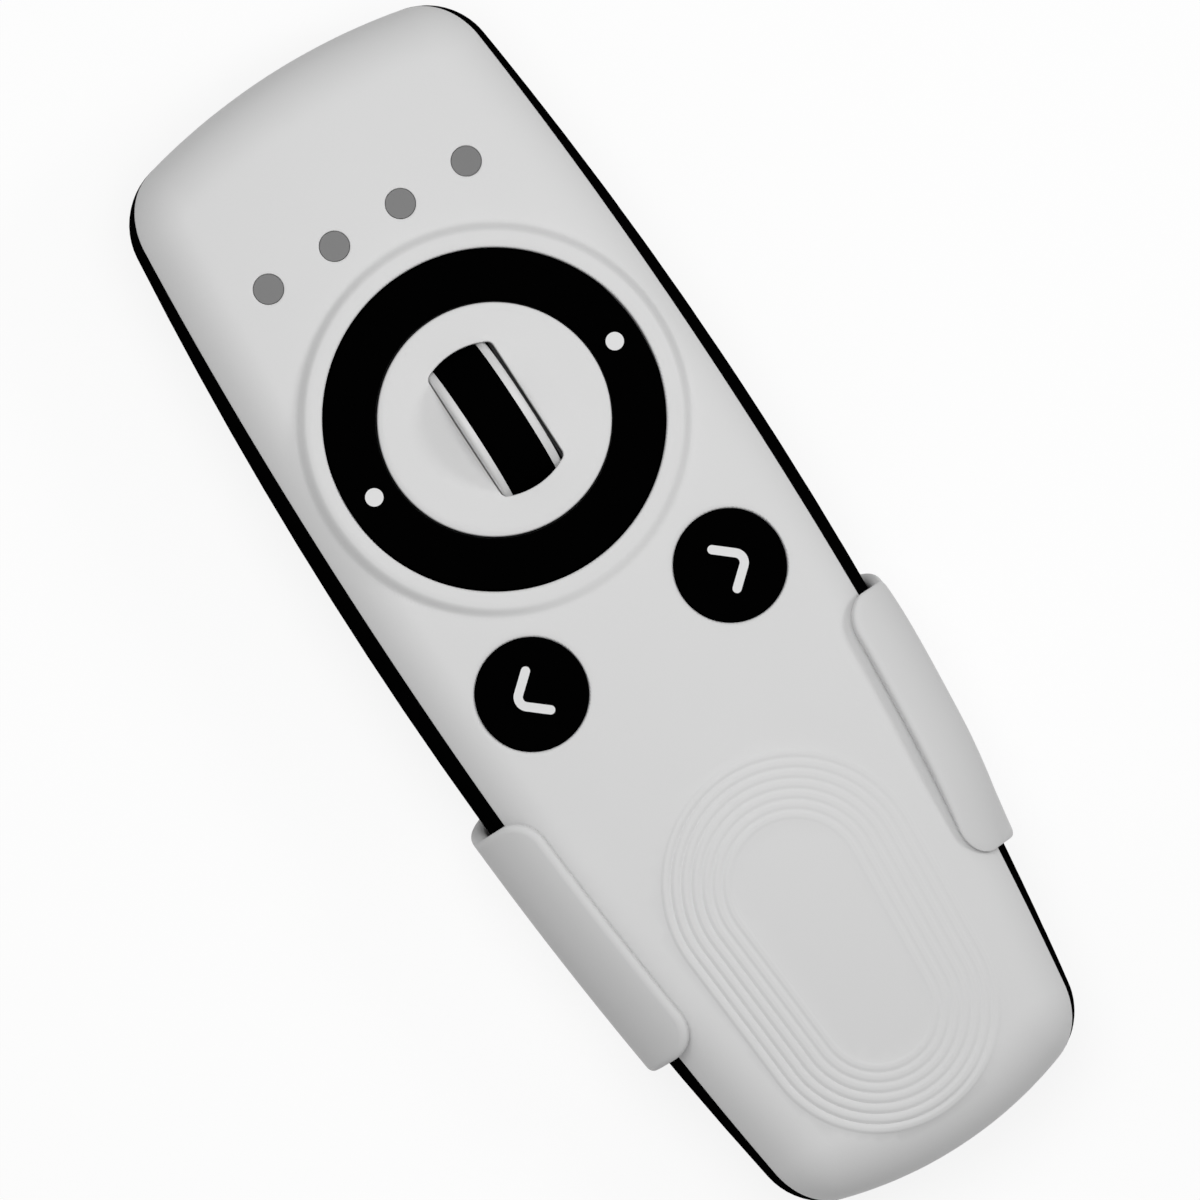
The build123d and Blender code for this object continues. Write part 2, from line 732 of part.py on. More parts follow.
def antenna():
    """Bent metal strip that stands on the board along the top end."""
    y = top_end - antenna_from_top
    half = antenna_length / 2
    points = [(-half, 0), (-half, antenna_height), (half, antenna_height), (half, 0)]
    arch = FilletPolyline(*points, radius=antenna_bend)
    strip = trace(arch, antenna_strip)
    standing = extrude(Plane.XZ * (Pos(0, board_top) * strip), antenna_width / 2, both=True)
    return (Pos(0, y, 0) * standing) & block(-half_width, half_width, 0, top_end, board_top, crown_z)


def cell(side):
    """AAA cell: can with its raised nub towards the flat contact."""
    x = side * cell_x
    can = Cylinder(cell_radius, cell_length - nub_height)
    can = fillet(can.edges().filter_by(GeomType.CIRCLE), cell_edge_fillet)
    can += Pos(0, 0, cell_length / 2) * Cylinder(nub_radius, nub_height)
    turn = Rotation(-90 if side < 0 else 90, 0, 0)
    shift = (leaf_room - plate_room - nub_height) / 2
    return Pos(x, (bay_low + bay_high) / 2 - side * shift, cell_z) * turn * can


def leaf_contact(side):
    """Bent spring leaf at the flat end of a cell."""
    rise = contact_half_height
    tip = leaf_room - contact_strip
    foot = contact_strip / 2
    points = [(foot, -rise), (foot, rise), (tip, leaf_tip_rise), (leaf_toe, -rise)]
    bend = FilletPolyline(*points, radius=leaf_bend_radius)
    strip = trace(bend, contact_strip)
    x = side * cell_x
    if side < 0:
        leaf = side_view(x - contact_width / 2, x + contact_width / 2, strip)
        return Pos(0, bay_low, cell_z) * leaf
    leaf = side_view(x - contact_width / 2, x + contact_width / 2, mirror(strip, about=Plane.YZ))
    return Pos(0, bay_high, cell_z) * leaf


def flat_contact(side):
    """Plate contact with a round bump for a cell's nub."""
    x = side * cell_x
    half = contact_width / 2
    wall_y = bay_high if side < 0 else bay_low
    plate_y = wall_y + side * contact_strip
    bump_y = wall_y + side * (plate_room - contact_strip / 2)
    y_low, y_high = sorted((wall_y, plate_y))
    plate = block(x - half, x + half, y_low, y_high, cell_z - half, cell_z + half)
    bump = Pos(x, (wall_y + bump_y) / 2, cell_z) * Rotation(90, 0, 0)
    return plate + bump * Cylinder(contact_bump_radius, abs(bump_y - wall_y))


def case_screws():
    """Four screws from the back, through board and frame, into the front shell."""
    screws = Part()
    head_low = back_z + screw_head_recess
    head_top = head_low + screw_head_height
    for x, y in boss_places:
        screws += rod(x, y, head_low, head_top, screw_head_radius)
        screws += rod(x, y, head_top, frame_top + screw_bite, screw_radius)
        screws -= block(x - screw_head_radius, x + screw_head_radius, y - screw_slot_half,
                        y + screw_slot_half, head_low, head_low + screw_slot_depth)
    return screws


def pairing_button():
    """Small recessed button in the back, kept in by its flange."""
    low = back_z + pairing_recess
    top = low + pairing_height
    button = rod(0, pairing_y, low, top, pairing_radius)
    flange_low = back_z + shell_wall + pairing_flange_gap
    flange_top = flange_low + pairing_flange_height
    return button + rod(0, pairing_y, flange_low, flange_top, pairing_radius + pairing_flange)


def pairing_switch():
    """Low tact switch under the board, above the pairing button."""
    half = pairing_switch_side / 2
    low = board_low - pairing_switch_height
    body = block(-half, half, pairing_y - half, pairing_y + half, low, board_low)
    bore_top = low + pairing_stem_depth + press_travel + running_clearance
    return body - rod(0, pairing_y, low, bore_top, pairing_stem_radius + running_clearance)


def pairing_stem():
    """Stem of the pairing switch, resting on the pairing button."""
    low = back_z + pairing_recess + pairing_height
    return rod(0, pairing_y, low, board_low - pairing_switch_height + pairing_stem_depth, pairing_stem_radius)


def lip_plan():
    """Plan of the two lips over the face, with rounded inner corners."""
    wing_low = wheel_y - wing_below_wheel - wing_length
    band = Pos(0, wing_low + wing_length / 2) * Rectangle(4 * half_width, wing_length)
    lips = band - outline(-lip_reach)
    inner = lips.vertices().filter_by(lambda v: abs(v.X) < half_width)
    upper = inner.filter_by(lambda v: v.Y > wing_low + wing_length / 2)
    lips = fillet(upper, lip_upper_corner)
    inner = lips.vertices().filter_by(lambda v: abs(v.X) < half_width)
    lower = inner.filter_by(lambda v: v.Y < wing_low + wing_length / 2)
    return fillet(lower, lip_lower_corner)


def wall_holder():
    """Wall holder: back plate, tongue, and two wings whose lips wrap over the face."""
    wing_high = wheel_y - wing_below_wheel
    wing_low = wing_high - wing_length
    lip_z = back_z + lip_start_height
    side_face = make_face(Polyline((wing_low, 0), (wing_low, lip_z), (wing_high, lip_z),
                                   (wing_high + wing_rise, back_z), (wing_high + wing_rise, 0), close=True))
    reach = half_width + holder_wall + holder_gap
    zone = side_view(-reach, reach, side_face) + extrude(Pos(0, 0, lip_z) * lip_plan(), body_depth)
    holder = (pebble(holder_gap + holder_wall) - pebble(holder_gap)) & zone
    tongue_high = wheel_y - tongue_below_wheel
    tongue_low = wing_low + tongue_above_wing_foot
    tongue_mid = (tongue_low + tongue_high) / 2
    tongue_length = tongue_high - tongue_low
    tongue = Pos(0, tongue_mid) * RectangleRounded(2 * tongue_half_width, tongue_length, tongue_corner)
    holder += extrude(tongue, holder_wall)
    for y in (wheel_y - wall_screw_below_wheel, wheel_y - wall_screw_below_wheel - wall_screw_spacing):
        sink_depth = wall_screw_head_radius - wall_screw_radius
        holder -= rod(0, y, 0, holder_wall, wall_screw_radius)
        upright = (Align.CENTER, Align.CENTER, Align.MAX)
        sink = Cone(wall_screw_radius, wall_screw_head_radius, sink_depth, align=upright)
        holder -= Pos(0, y, holder_wall) * sink
    return holder


left = button_places[0]
right = button_places[1]
nodes = {
    "wall_holder": wall_holder(),
    "front_shell": front_shell(),
    "back_shell": back_shell(),
    "battery_door": battery_door(),
    "inner_frame": inner_frame(),
    "wheel_bezel": wheel_bezel(),
    "light_guide": light_guide(),
    "indicator_lights": indicator_lights(),
    "main_board": main_board(),
    "processor_chip": processor_chip(),
    "radio_module": radio_module(),
    "board_crystal": crystal(),
    "antenna": antenna(),
    "ring_switches": switch_body(*ring_foot_places[0], ring_switch_clearance)
    + switch_body(*ring_foot_places[1], ring_switch_clearance),
    "channel_switches": switch_body(*left, switch_bore_clearance)
    + switch_body(*right, switch_bore_clearance),
    "wheel_switch": switch_body(-wheel_switch_x, wheel_y, switch_bore_clearance),
    "pairing_switch": pairing_switch(),
    "case_screws": case_screws(),
    "cell_left": cell(-1),
    "cell_right": cell(1),
    "leaf_contacts": leaf_contact(-1) + leaf_contact(1),
    "flat_contacts": flat_contact(-1) + flat_contact(1),
    "rocker_ring": rocker_ring(),
    "ring_dots": ring_dots(),
    "ring_switch_stems": switch_stem(*ring_foot_places[0]) + switch_stem(*ring_foot_places[1]),
    "left_button": channel_button(*left, -1),
    "left_chevron": chevron(*left, -1),
    "left_switch_stem": switch_stem(*left),
    "right_button": channel_button(*right, 1),
    "right_chevron": chevron(*right, 1),
    "right_switch_stem": switch_stem(*right),
    "wheel_cradle": wheel_cradle(),
    "wheel_encoder": wheel_encoder(),
    "wheel_switch_stem": switch_stem(-wheel_switch_x, wheel_y),
    "wheel_hub": wheel_hub(),
    "wheel_tyre": wheel_tyre(),
    "wheel_axle": wheel_axle(),
    "pairing_button": pairing_button(),
    "pairing_switch_stem": pairing_stem(),
}
for name, solid in nodes.items():
    export_step(solid, f"parts/{name}.step")
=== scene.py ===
import bpy
import numpy as np
from mathutils import Matrix, Vector, geometry


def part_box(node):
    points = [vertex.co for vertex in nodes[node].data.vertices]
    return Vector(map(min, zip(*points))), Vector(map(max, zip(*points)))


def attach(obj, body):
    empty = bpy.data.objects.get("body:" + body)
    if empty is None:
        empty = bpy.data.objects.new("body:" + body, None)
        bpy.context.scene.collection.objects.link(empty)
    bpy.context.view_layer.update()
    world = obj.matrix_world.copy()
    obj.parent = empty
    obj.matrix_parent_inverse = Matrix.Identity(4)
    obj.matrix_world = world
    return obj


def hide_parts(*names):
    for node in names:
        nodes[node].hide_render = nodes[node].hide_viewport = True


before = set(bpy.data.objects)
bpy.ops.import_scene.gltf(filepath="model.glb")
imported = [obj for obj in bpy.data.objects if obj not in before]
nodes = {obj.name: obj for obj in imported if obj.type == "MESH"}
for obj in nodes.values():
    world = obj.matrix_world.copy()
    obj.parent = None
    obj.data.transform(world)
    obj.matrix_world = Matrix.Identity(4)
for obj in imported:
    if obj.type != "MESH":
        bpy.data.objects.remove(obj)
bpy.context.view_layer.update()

# Camera: a long lens almost straight above the face, which lies with its top end to the upper
# left. It leans a little to the remote's left, so that the left flank shows more than the right.
mm = 0.001
picture_px = 1200
px_per_mm = 9.259
remote_turn = np.radians(33.1)
lean = np.radians(3.0)
camera_distance = 1.5
aim = Vector((-1.06, 1.84, 20.0)) * mm
camera_data = bpy.data.cameras.new("camera")
camera = bpy.data.objects.new("camera", camera_data)
bpy.context.scene.collection.objects.link(camera)
bpy.context.scene.camera = camera
picture_width = picture_px / px_per_mm * mm
camera_data.sensor_width = 36.0
camera_data.lens = camera_data.sensor_width * camera_distance / picture_width
camera_data.clip_end = 10.0
backward = Vector((-np.sin(lean), 0.0, np.cos(lean)))
upward = Vector((np.sin(remote_turn), np.cos(remote_turn), 0.0))
upward = (upward - backward * upward.dot(backward)).normalized()
rightward = upward.cross(backward)
turned = Matrix((rightward, upward, backward)).transposed().to_4x4()
camera.matrix_world = Matrix.Translation(aim + backward * camera_distance) @ turned

# Studio: a pale paper floor under the holder, a dim even sky, a broad lamp close above the face
# and a small one low on the right, which throws the wheel's soft shadow to the left. The paper
# shows white to the camera and in reflections, and keeps the soft shadow that falls on it.
paper_drop = 0.0003
paper_half = 1.5
paper_share = 0.14
paper_white = 0.9
sky_level = 0.34
top_lamp_watts = 0.46
top_lamp_width = 0.2
top_lamp_place = Vector((0.0, 0.05, 0.3))
side_lamp_watts = 0.36
side_lamp_width = 0.12
side_lamp_place = Vector((0.34, -0.06, 0.31))
lamp_target = Vector((0.0, 0.0, 0.02))


def linear(hex_colour):
    """An sRGB hex colour as linear red, green, blue and full opacity."""
    srgb = np.array([int(hex_colour[i:i + 2], 16) / 255 for i in (1, 3, 5)])
    channels = np.where(srgb <= 0.04045, srgb / 12.92, ((srgb + 0.055) / 1.055) ** 2.4)
    return (*channels, 1.0)


def add_node(tree, kind, settings=None, links=None):
    """One shader node: settings go to its sockets or properties, links come from other sockets."""
    node = tree.nodes.new(kind)
    for name, value in (settings or {}).items():
        if isinstance(name, int) or name in node.inputs:
            node.inputs[name].default_value = value
        else:
            setattr(node, name, value)
    for name, source in (links or {}).items():
        tree.links.new(source, node.inputs[name])
    return node


def new_material(name):
    """An empty node material and its tree."""
    material = bpy.data.materials.new(name)
    material.use_nodes = True
    material.node_tree.nodes.clear()
    return material, material.node_tree


def background_rays(tree):
    """1 for the rays that see the background: from the camera, a glossy or a clear surface."""
    ray = add_node(tree, "ShaderNodeLightPath")
    rays = ray.outputs["Is Camera Ray"]
    for kind in ("Is Glossy Ray", "Is Transmission Ray"):
        either = add_node(tree, "ShaderNodeMath", {"operation": "MAXIMUM"},
                          {0: rays, 1: ray.outputs[kind]})
        rays = either.outputs[0]
    return rays


paper, tree = new_material("studio_paper")
diffuse = add_node(tree, "ShaderNodeBsdfDiffuse", {"Color": (*[paper_share] * 3, 1.0)})
bright = add_node(tree, "ShaderNodeBsdfDiffuse", {"Color": (*[paper_white] * 3, 1.0)})
glow = add_node(tree, "ShaderNodeEmission", {"Strength": 1.0 - paper_share})
both = add_node(tree, "ShaderNodeAddShader", links={0: diffuse.outputs[0], 1: glow.outputs[0]})
clear = add_node(tree, "ShaderNodeBsdfTransparent")
side = add_node(tree, "ShaderNodeNewGeometry")
seen = add_node(tree, "ShaderNodeMixShader",
                links={0: background_rays(tree), 1: bright.outputs[0], 2: both.outputs[0]})
facing = add_node(tree, "ShaderNodeMixShader",
                  links={0: side.outputs["Backfacing"], 1: seen.outputs[0], 2: clear.outputs[0]})
add_node(tree, "ShaderNodeOutputMaterial", links={"Surface": facing.outputs[0]})
floor_mesh = bpy.data.meshes.new("floor")
corners = [(x, y, -paper_drop) for x, y in ((-1, -1), (1, -1), (1, 1), (-1, 1))]
corners = [(x * paper_half, y * paper_half, z) for x, y, z in corners]
floor_mesh.from_pydata(corners, [], [(0, 1, 2, 3)])
floor_mesh.materials.append(paper)
floor = bpy.data.objects.new("floor", floor_mesh)
bpy.context.scene.collection.objects.link(floor)

world = bpy.data.worlds.new("sky")
bpy.context.scene.world = world
world.use_nodes = True
tree = world.node_tree
tree.nodes.clear()
sky_white = (1.0, 1.0, 1.0, 1.0)
even = add_node(tree, "ShaderNodeBackground", {"Color": sky_white, "Strength": sky_level})
white = add_node(tree, "ShaderNodeBackground", {"Color": sky_white, "Strength": 1.0})
sky = add_node(tree, "ShaderNodeMixShader",
               links={0: background_rays(tree), 1: even.outputs[0], 2: white.outputs[0]})
add_node(tree, "ShaderNodeOutputWorld", links={"Surface": sky.outputs[0]})


def place_lamp(name, watts, width, place):
    """A round soft lamp that faces the remote and isn't seen by the camera."""
    data = bpy.data.lights.new(name, "AREA")
    data.shape = "DISK"
    data.size = width
    data.energy = watts
    lamp = bpy.data.objects.new(name, data)
    bpy.context.scene.collection.objects.link(lamp)
    turn = (place - lamp_target).to_track_quat("Z", "Y").to_matrix().to_4x4()
    lamp.matrix_world = Matrix.Translation(place) @ turn
    lamp.visible_camera = False


place_lamp("top_lamp", top_lamp_watts, top_lamp_width, top_lamp_place)
place_lamp("side_lamp", side_lamp_watts, side_lamp_width, side_lamp_place)
bpy.context.scene.view_settings.view_transform = "Standard"

# Wall holder: a channel of light grey ABS in one moulding. Its back screws to the wall, its wings
# wrap round the remote's flanks and over the face, and every edge of the sheet is rounded. The
# right wing's outer face draws in from its fullest place towards both of its ends.
half_width = 25.1
side_radius = 460.0
top_radius = 72.0
bottom_radius = 46.0
corner_radius = 8.0
cross_crown = 250.0
long_crown = 1200.0
face_edge = 7.0
back_edge = 8.0
panel_rise = 0.45
widest_below_wheel = 13.2
holder_gap = 0.25
holder_wall = 1.9
holder_edge = 0.8
edge_under = 0.55
edge_over = 0.3
fullest_y = -31.0
lower_draw = 1.5
lower_bend = 1.8
upper_draw = 0.4
upper_bend = 6
wing_below_wheel = 37.4
wing_length = 31.2
wing_rise = 2.6
wing_slope_top = 11.0
lip_reach = 4.1
lip_upper_corner = 3.5
lip_lower_corner = 3.9
tongue_half_width = 15.0
tongue_corner = 6.0
tongue_root = 1.5
wall_screw_radius = 1.9
wall_screw_head = 3.5
wall_screws_below_wheel = (20.2, 60.2)
holder_grey = "#D1D1D1"
mottle_mm = 14
mottle_share = 0.012
crease_angle = np.radians(38)
settling_rounds = 4
same_point_mm = 1e-7
quarter_points = 13
lip_points = 90
low_edge_points = 110
top_edge_points = 80
plate_points = 6
tongue_points = 20
tip_points = 10
screw_circle_points = 40
screw_sink_points = 5
flank_fill = (-1.5, 28, 40)
plate_fill = (-15, 15, 13)
fill_rows = 24
rim_clearance = 0.4
screw_clearance = 0.5

ring_low, ring_high = (np.array(corner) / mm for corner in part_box("rocker_ring"))
front_low, front_high = (np.array(corner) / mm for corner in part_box("front_shell"))
back_low, back_high = (np.array(corner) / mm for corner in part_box("back_shell"))
_, holder_high = (np.array(corner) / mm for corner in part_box("wall_holder"))
wheel_y = (ring_low[1] + ring_high[1]) / 2
panel_z = ring_high[2]
crown_z = panel_z - panel_rise
back_z = back_low[2]
bottom_end = min(front_low[1], back_low[1])
top_end = max(front_high[1], back_high[1])
widest_y = wheel_y - widest_below_wheel
side_centre = np.array((half_width - side_radius, widest_y))
top_centre = np.array((0.0, top_end - top_radius))
low_centre = np.array((0.0, bottom_end + bottom_radius))


def nearest_gap(points, places):
    """Distance of points from the nearest of several places."""
    return np.linalg.norm(points[:, None] - np.asarray(places)[None], axis=2).min(axis=1)


def lengths_of(vectors):
    """Lengths of vectors, as a column."""
    return np.linalg.norm(vectors, axis=1, keepdims=True)


def circled(angle):
    """Unit vectors at angles: cosine across, sine along."""
    return np.column_stack((np.cos(angle), np.sin(angle)))


def crown_height(place, grow):
    """Height of the crown, grown outwards: a cross arc turned about the long arc's centre."""
    tube = np.sqrt((cross_crown + grow) ** 2 - place[:, 0] ** 2)
    rise = np.sqrt((long_crown - cross_crown + tube) ** 2 - (place[:, 1] - widest_y) ** 2)
    return crown_z - long_crown + rise


def wing_section(out, foot_x, along, grow):
    """Reach beyond the foot and height of the holder's section, grown outwards from the body.

    The section runs flat, round the back edge, up the flank and round the face edge. Its length
    is measured half way through the wall, so both faces of the wall share one parameter."""
    middle = holder_gap + holder_wall / 2
    back_length = (back_edge + middle) * np.pi / 2
    foot = np.column_stack((foot_x + back_edge - face_edge, along))
    ball_z = crown_height(foot, -face_edge)
    wall_length = ball_z - back_z - back_edge
    low_angle = np.clip(out / (back_edge + middle), 0, np.pi / 2)
    high_angle = np.clip((out - back_length - wall_length) / (face_edge + middle), 0, np.pi / 2)
    climb = np.clip(out - back_length, 0, wall_length)
    reach = np.minimum(out, 0) + (back_edge + grow) * np.sin(low_angle)
    reach = reach - (face_edge + grow) * (1 - np.cos(high_angle))
    height = back_z + back_edge - (back_edge + grow) * np.cos(low_angle) + climb
    return reach, height + (face_edge + grow) * np.sin(high_angle)


def wing_place(side_out, along, grow):
    """Foot of the flank's section at a real place along the remote, and the section there.

    The section leans out along the side's arc, so the foot is found by repeating."""
    middle = holder_gap + holder_wall / 2
    core = side_radius - back_edge
    reach = np.zeros_like(side_out)
    for _ in range(settling_rounds):
        sine = (along - widest_y) / (core + reach)
        foot_x = side_centre[0] + core * np.sqrt(1 - sine**2)
        reach, _ = wing_section(side_out, foot_x, along, middle)
    reach, height = wing_section(side_out, foot_x, along, grow)
    return foot_x, sine, reach, height


def holder_point(unrolled, grow):
    """Points of the holder's sheet for its unrolled plan: across from the middle, and along."""
    across = np.abs(unrolled[:, 0])
    foot_x = np.full_like(across, half_width - back_edge)
    for _ in range(settling_rounds):
        foot_x, sine, reach, height = wing_place(across - foot_x, unrolled[:, 1], grow)
    on_flank = across > foot_x
    x = np.where(on_flank, foot_x + reach * np.sqrt(1 - sine**2), across)
    y = np.where(on_flank, widest_y + (side_radius - back_edge + reach) * sine, unrolled[:, 1])
    return np.column_stack((x * np.sign(unrolled[:, 0]), y, height))


def inside_loop(points, loop):
    """Whether points lie inside a closed loop: a ray to the right crosses it an odd time."""
    start, end = loop, np.roll(loop, -1, axis=0)
    x, y = points[:, :1], points[:, 1:]
    spans = (start[:, 1] > y) != (end[:, 1] > y)
    rise = np.where(end[:, 1] == start[:, 1], 1, end[:, 1] - start[:, 1])
    cross = start[:, 0] + (y - start[:, 1]) * (end[:, 0] - start[:, 0]) / rise
    return (spans & (x < cross)).sum(axis=1) % 2 == 1


def triangulate(points, rims):
    """Delaunay triangles of plan points inside the first closed rim and outside all further rims.

    The points begin with the rims' own, and rims holds how many points each has."""
    edges = []
    start = 0
    for count in rims:
        edges += [(start + i, start + (i + 1) % count) for i in range(count)]
        start += count
    outside = [list(range(rims[0]))]
    inside_only = 1
    vectors = [Vector(point) for point in points]
    found = geometry.delaunay_2d_cdt(vectors, edges, outside, inside_only, same_point_mm)
    first = np.array([origin[0] for origin in found[3]])
    triangles = first[np.array(found[2])]
    middles = points[triangles].mean(axis=1)
    starts = np.cumsum(rims)
    for start, end in zip(starts, starts[1:]):
        keep = ~inside_loop(middles, points[start:end])
        triangles, middles = triangles[keep], middles[keep]
    return triangles


def two_skins(name, front, back, triangles, material, solids=()):
    """A closed wall: the front skin, the back skin turned over, and a strip round each rim.

    Further closed solids, each given as points and faces, become part of the same piece."""
    count = len(front)
    directed = np.concatenate([triangles[:, pair] for pair in ((0, 1), (1, 2), (2, 0))])
    keys = np.sort(directed, axis=1) @ (count, 1)
    _, place, uses = np.unique(keys, return_index=True, return_counts=True)
    rim = directed[place[uses == 1]]
    strips = np.column_stack((rim[:, 1], rim[:, 0], rim[:, 0] + count, rim[:, 1] + count))
    faces = triangles.tolist() + (triangles[:, ::-1] + count).tolist() + strips.tolist()
    points = np.concatenate((front, back))
    for solid_points, solid_faces in solids:
        faces += [[corner + len(points) for corner in face] for face in solid_faces]
        points = np.concatenate((points, solid_points))
    mesh = bpy.data.meshes.new(name)
    mesh.from_pydata((points * mm).tolist(), [], faces)
    return finish_piece(name, mesh, material)


def finish_piece(name, mesh, material):
    """Puts a mesh in the scene as a smooth piece whose creases stay sharp."""
    mesh.shade_smooth()
    mesh.set_sharp_from_angle(angle=crease_angle)
    mesh.materials.append(material)
    piece = bpy.data.objects.new(name, mesh)
    bpy.context.scene.collection.objects.link(piece)
    return piece


def rolled(depth, radius):
    """How far a rounded edge falls below the face, at a distance from the edge: a quarter circle."""
    return radius - np.sqrt(radius**2 - np.clip(radius - depth, 0, radius) ** 2)


def moulded_plastic(name, colour, grain_mm, grain_depth_mm, roughness, specular):
    """Moulded plastic: one colour with faint flow mottle, and the tool's fine grain as bump.

    The real grain is under 0.1 mm. It is drawn a few times coarser, so that it shows at all."""
    material, tree = new_material(name)
    place = add_node(tree, "ShaderNodeTexCoord")
    mottle = add_node(tree, "ShaderNodeTexNoise", {"Scale": 1 / (mottle_mm * mm), "Detail": 2.0},
                      {"Vector": place.outputs["Object"]})
    base = np.array(linear(colour)[:3])
    light = (*np.minimum(base * (1 + mottle_share), 1), 1.0)
    dark = (*(base * (1 - mottle_share)), 1.0)
    tint = add_node(tree, "ShaderNodeMix", {"data_type": "RGBA", 6: dark, 7: light},
                    {"Factor": mottle.outputs[0]})
    grain = add_node(tree, "ShaderNodeTexNoise", {"Scale": 1 / (grain_mm * mm), "Detail": 1.0},
                     {"Vector": place.outputs["Object"]})
    bump = add_node(tree, "ShaderNodeBump", {"Strength": 1.0, "Distance": grain_depth_mm * mm},
                    {"Height": grain.outputs[0]})
    shader = add_node(tree, "ShaderNodeBsdfPrincipled",
                      {"Roughness": roughness, "Specular IOR Level": specular},
                      {"Base Color": tint.outputs[2], "Normal": bump.outputs[0]})
    add_node(tree, "ShaderNodeOutputMaterial", links={"Surface": shader.outputs[0]})
    return material


wing_low = wheel_y - wing_below_wheel - wing_length
wing_high = wheel_y - wing_below_wheel
plate_high = wing_high + wing_rise
tongue_high = holder_high[1]
middle_grow = holder_gap + holder_wall / 2
lip_angle = np.arccos((face_edge - lip_reach) / (face_edge + middle_grow))
quarter = np.linspace(0, np.pi / 2, quarter_points)


def lip_out(along):
    """Unrolled distance from the foot to the lip's edge."""
    foot_x, _, _, _ = wing_place(np.full_like(along, back_edge), along, middle_grow)
    foot = np.column_stack((foot_x + back_edge - face_edge, along))
    wall_length = crown_height(foot, -face_edge) - back_z - back_edge
    return (back_edge + middle_grow) * np.pi / 2 + wall_length + (face_edge + middle_grow) * lip_angle


def flank(inset, along):
    """Unrolled plan points at an inset from the lip's edge."""
    out = lip_out(along) - inset
    foot_x, _, _, _ = wing_place(out, along, middle_grow)
    return np.column_stack((foot_x + out, along))


edge_y = np.linspace(wing_low + lip_lower_corner, wing_high - lip_upper_corner, lip_points)[1:-1]
lip_low = flank(lip_lower_corner * (1 - np.sin(quarter)),
                wing_low + lip_lower_corner * (1 - np.cos(quarter)))
lip_high = flank(lip_upper_corner * (1 - np.cos(quarter)),
                 wing_high - lip_upper_corner * (1 - np.sin(quarter)))
low_edge_x = np.linspace(0, lip_low[0, 0], low_edge_points)[:-1]
top_inset = np.linspace(lip_upper_corner, lip_out(np.array([plate_high]))[0], top_edge_points)[1:]
top_along = np.full_like(top_inset, wing_high)
_, _, _, top_rise = wing_place(lip_out(top_along) - top_inset, top_along, middle_grow)
top_y = wing_high + wing_rise * np.clip(1 - (top_rise - back_z) / wing_slope_top, 0, 1)
top_edge = flank(top_inset, top_y)
root_x = tongue_half_width + tongue_root
plate_x = np.linspace(top_edge[-1, 0], root_x, plate_points)[1:-1]
root = np.column_stack((root_x - tongue_root * np.sin(quarter),
                        plate_high + tongue_root * (1 - np.cos(quarter))))
tongue_y = np.linspace(plate_high + tongue_root, tongue_high - tongue_corner, tongue_points)[1:-1]
tip = np.column_stack((tongue_half_width - tongue_corner * (1 - np.cos(quarter)),
                       tongue_high - tongue_corner * (1 - np.sin(quarter))))
tip_x = np.linspace(tip[-1, 0], 0, tip_points)[1:]
right_rim = np.concatenate((
    np.column_stack((low_edge_x, np.full_like(low_edge_x, wing_low))), lip_low,
    flank(np.zeros_like(edge_y), edge_y), lip_high, top_edge,
    np.column_stack((plate_x, np.full_like(plate_x, plate_high))), root,
    np.column_stack((np.full_like(tongue_y, tongue_half_width), tongue_y)), tip,
    np.column_stack((tip_x, np.full_like(tip_x, tongue_high)))))
rim = np.concatenate((right_rim, right_rim[-2:0:-1] * (-1, 1)))
ahead = np.roll(rim, -1, axis=0) - rim
ahead = ahead / lengths_of(ahead)
mean = ahead + np.roll(ahead, 1, axis=0)
mean = mean / lengths_of(mean)
inward = np.column_stack((-mean[:, 1], mean[:, 0]))
edge_steps = holder_edge * (1 - np.cos(quarter[1:]))
holder_rings = [rim + inward * step for step in edge_steps]
screw_places = [np.array((0.0, wheel_y - below)) for below in wall_screws_below_wheel]
circle = circled(np.linspace(0, 2 * np.pi, screw_circle_points, endpoint=False))
sink_radii = np.linspace(wall_screw_radius, wall_screw_head, screw_sink_points)
screw_rings = [place + circle * radius for place in screw_places for radius in sink_radii[1:]]
bores = [place + circle * wall_screw_radius for place in screw_places]
grid_out, grid_y = np.meshgrid(np.linspace(*flank_fill), np.linspace(wing_low, plate_high, fill_rows))
grid_foot, _, _, _ = wing_place(grid_out.ravel(), grid_y.ravel(), middle_grow)
curved = np.column_stack((grid_foot + grid_out.ravel(), grid_y.ravel()))
flat_x, flat_y = np.meshgrid(np.linspace(*plate_fill), np.linspace(wing_low, tongue_high, fill_rows))
flat = np.column_stack((flat_x.ravel(), flat_y.ravel()))
inner = np.concatenate((curved, curved * (-1, 1), flat))
to_rim = np.linalg.norm(inner[:, None] - rim[None], axis=2)
nearest = to_rim.argmin(axis=1)
inside = np.einsum("ij,ij->i", inner - rim[nearest], inward[nearest]) > 0
inside &= to_rim.min(axis=1) > holder_edge + rim_clearance
inside &= nearest_gap(inner, screw_places) > wall_screw_head + screw_clearance
inner = inner[inside]
plan = np.concatenate((rim, *bores, *holder_rings, *screw_rings, inner))
triangles = triangulate(plan, [len(rim)] + [len(circle)] * 2)
depth = np.full(len(plan), holder_edge)
depth[:len(rim)] = 0
ring_start = len(rim) + 2 * len(circle)
for index, step in enumerate(edge_steps):
    depth[ring_start + index * len(rim):ring_start + (index + 1) * len(rim)] = step
fall = rolled(depth, holder_edge)
on_right = np.clip((plan[:, 0] - half_width) / back_edge, 0, 1)
lower = np.clip((fullest_y - plan[:, 1]) / (fullest_y - wing_low), 0, 1)
upper = np.clip((plan[:, 1] - fullest_y) / (wing_high - fullest_y), 0, 1)
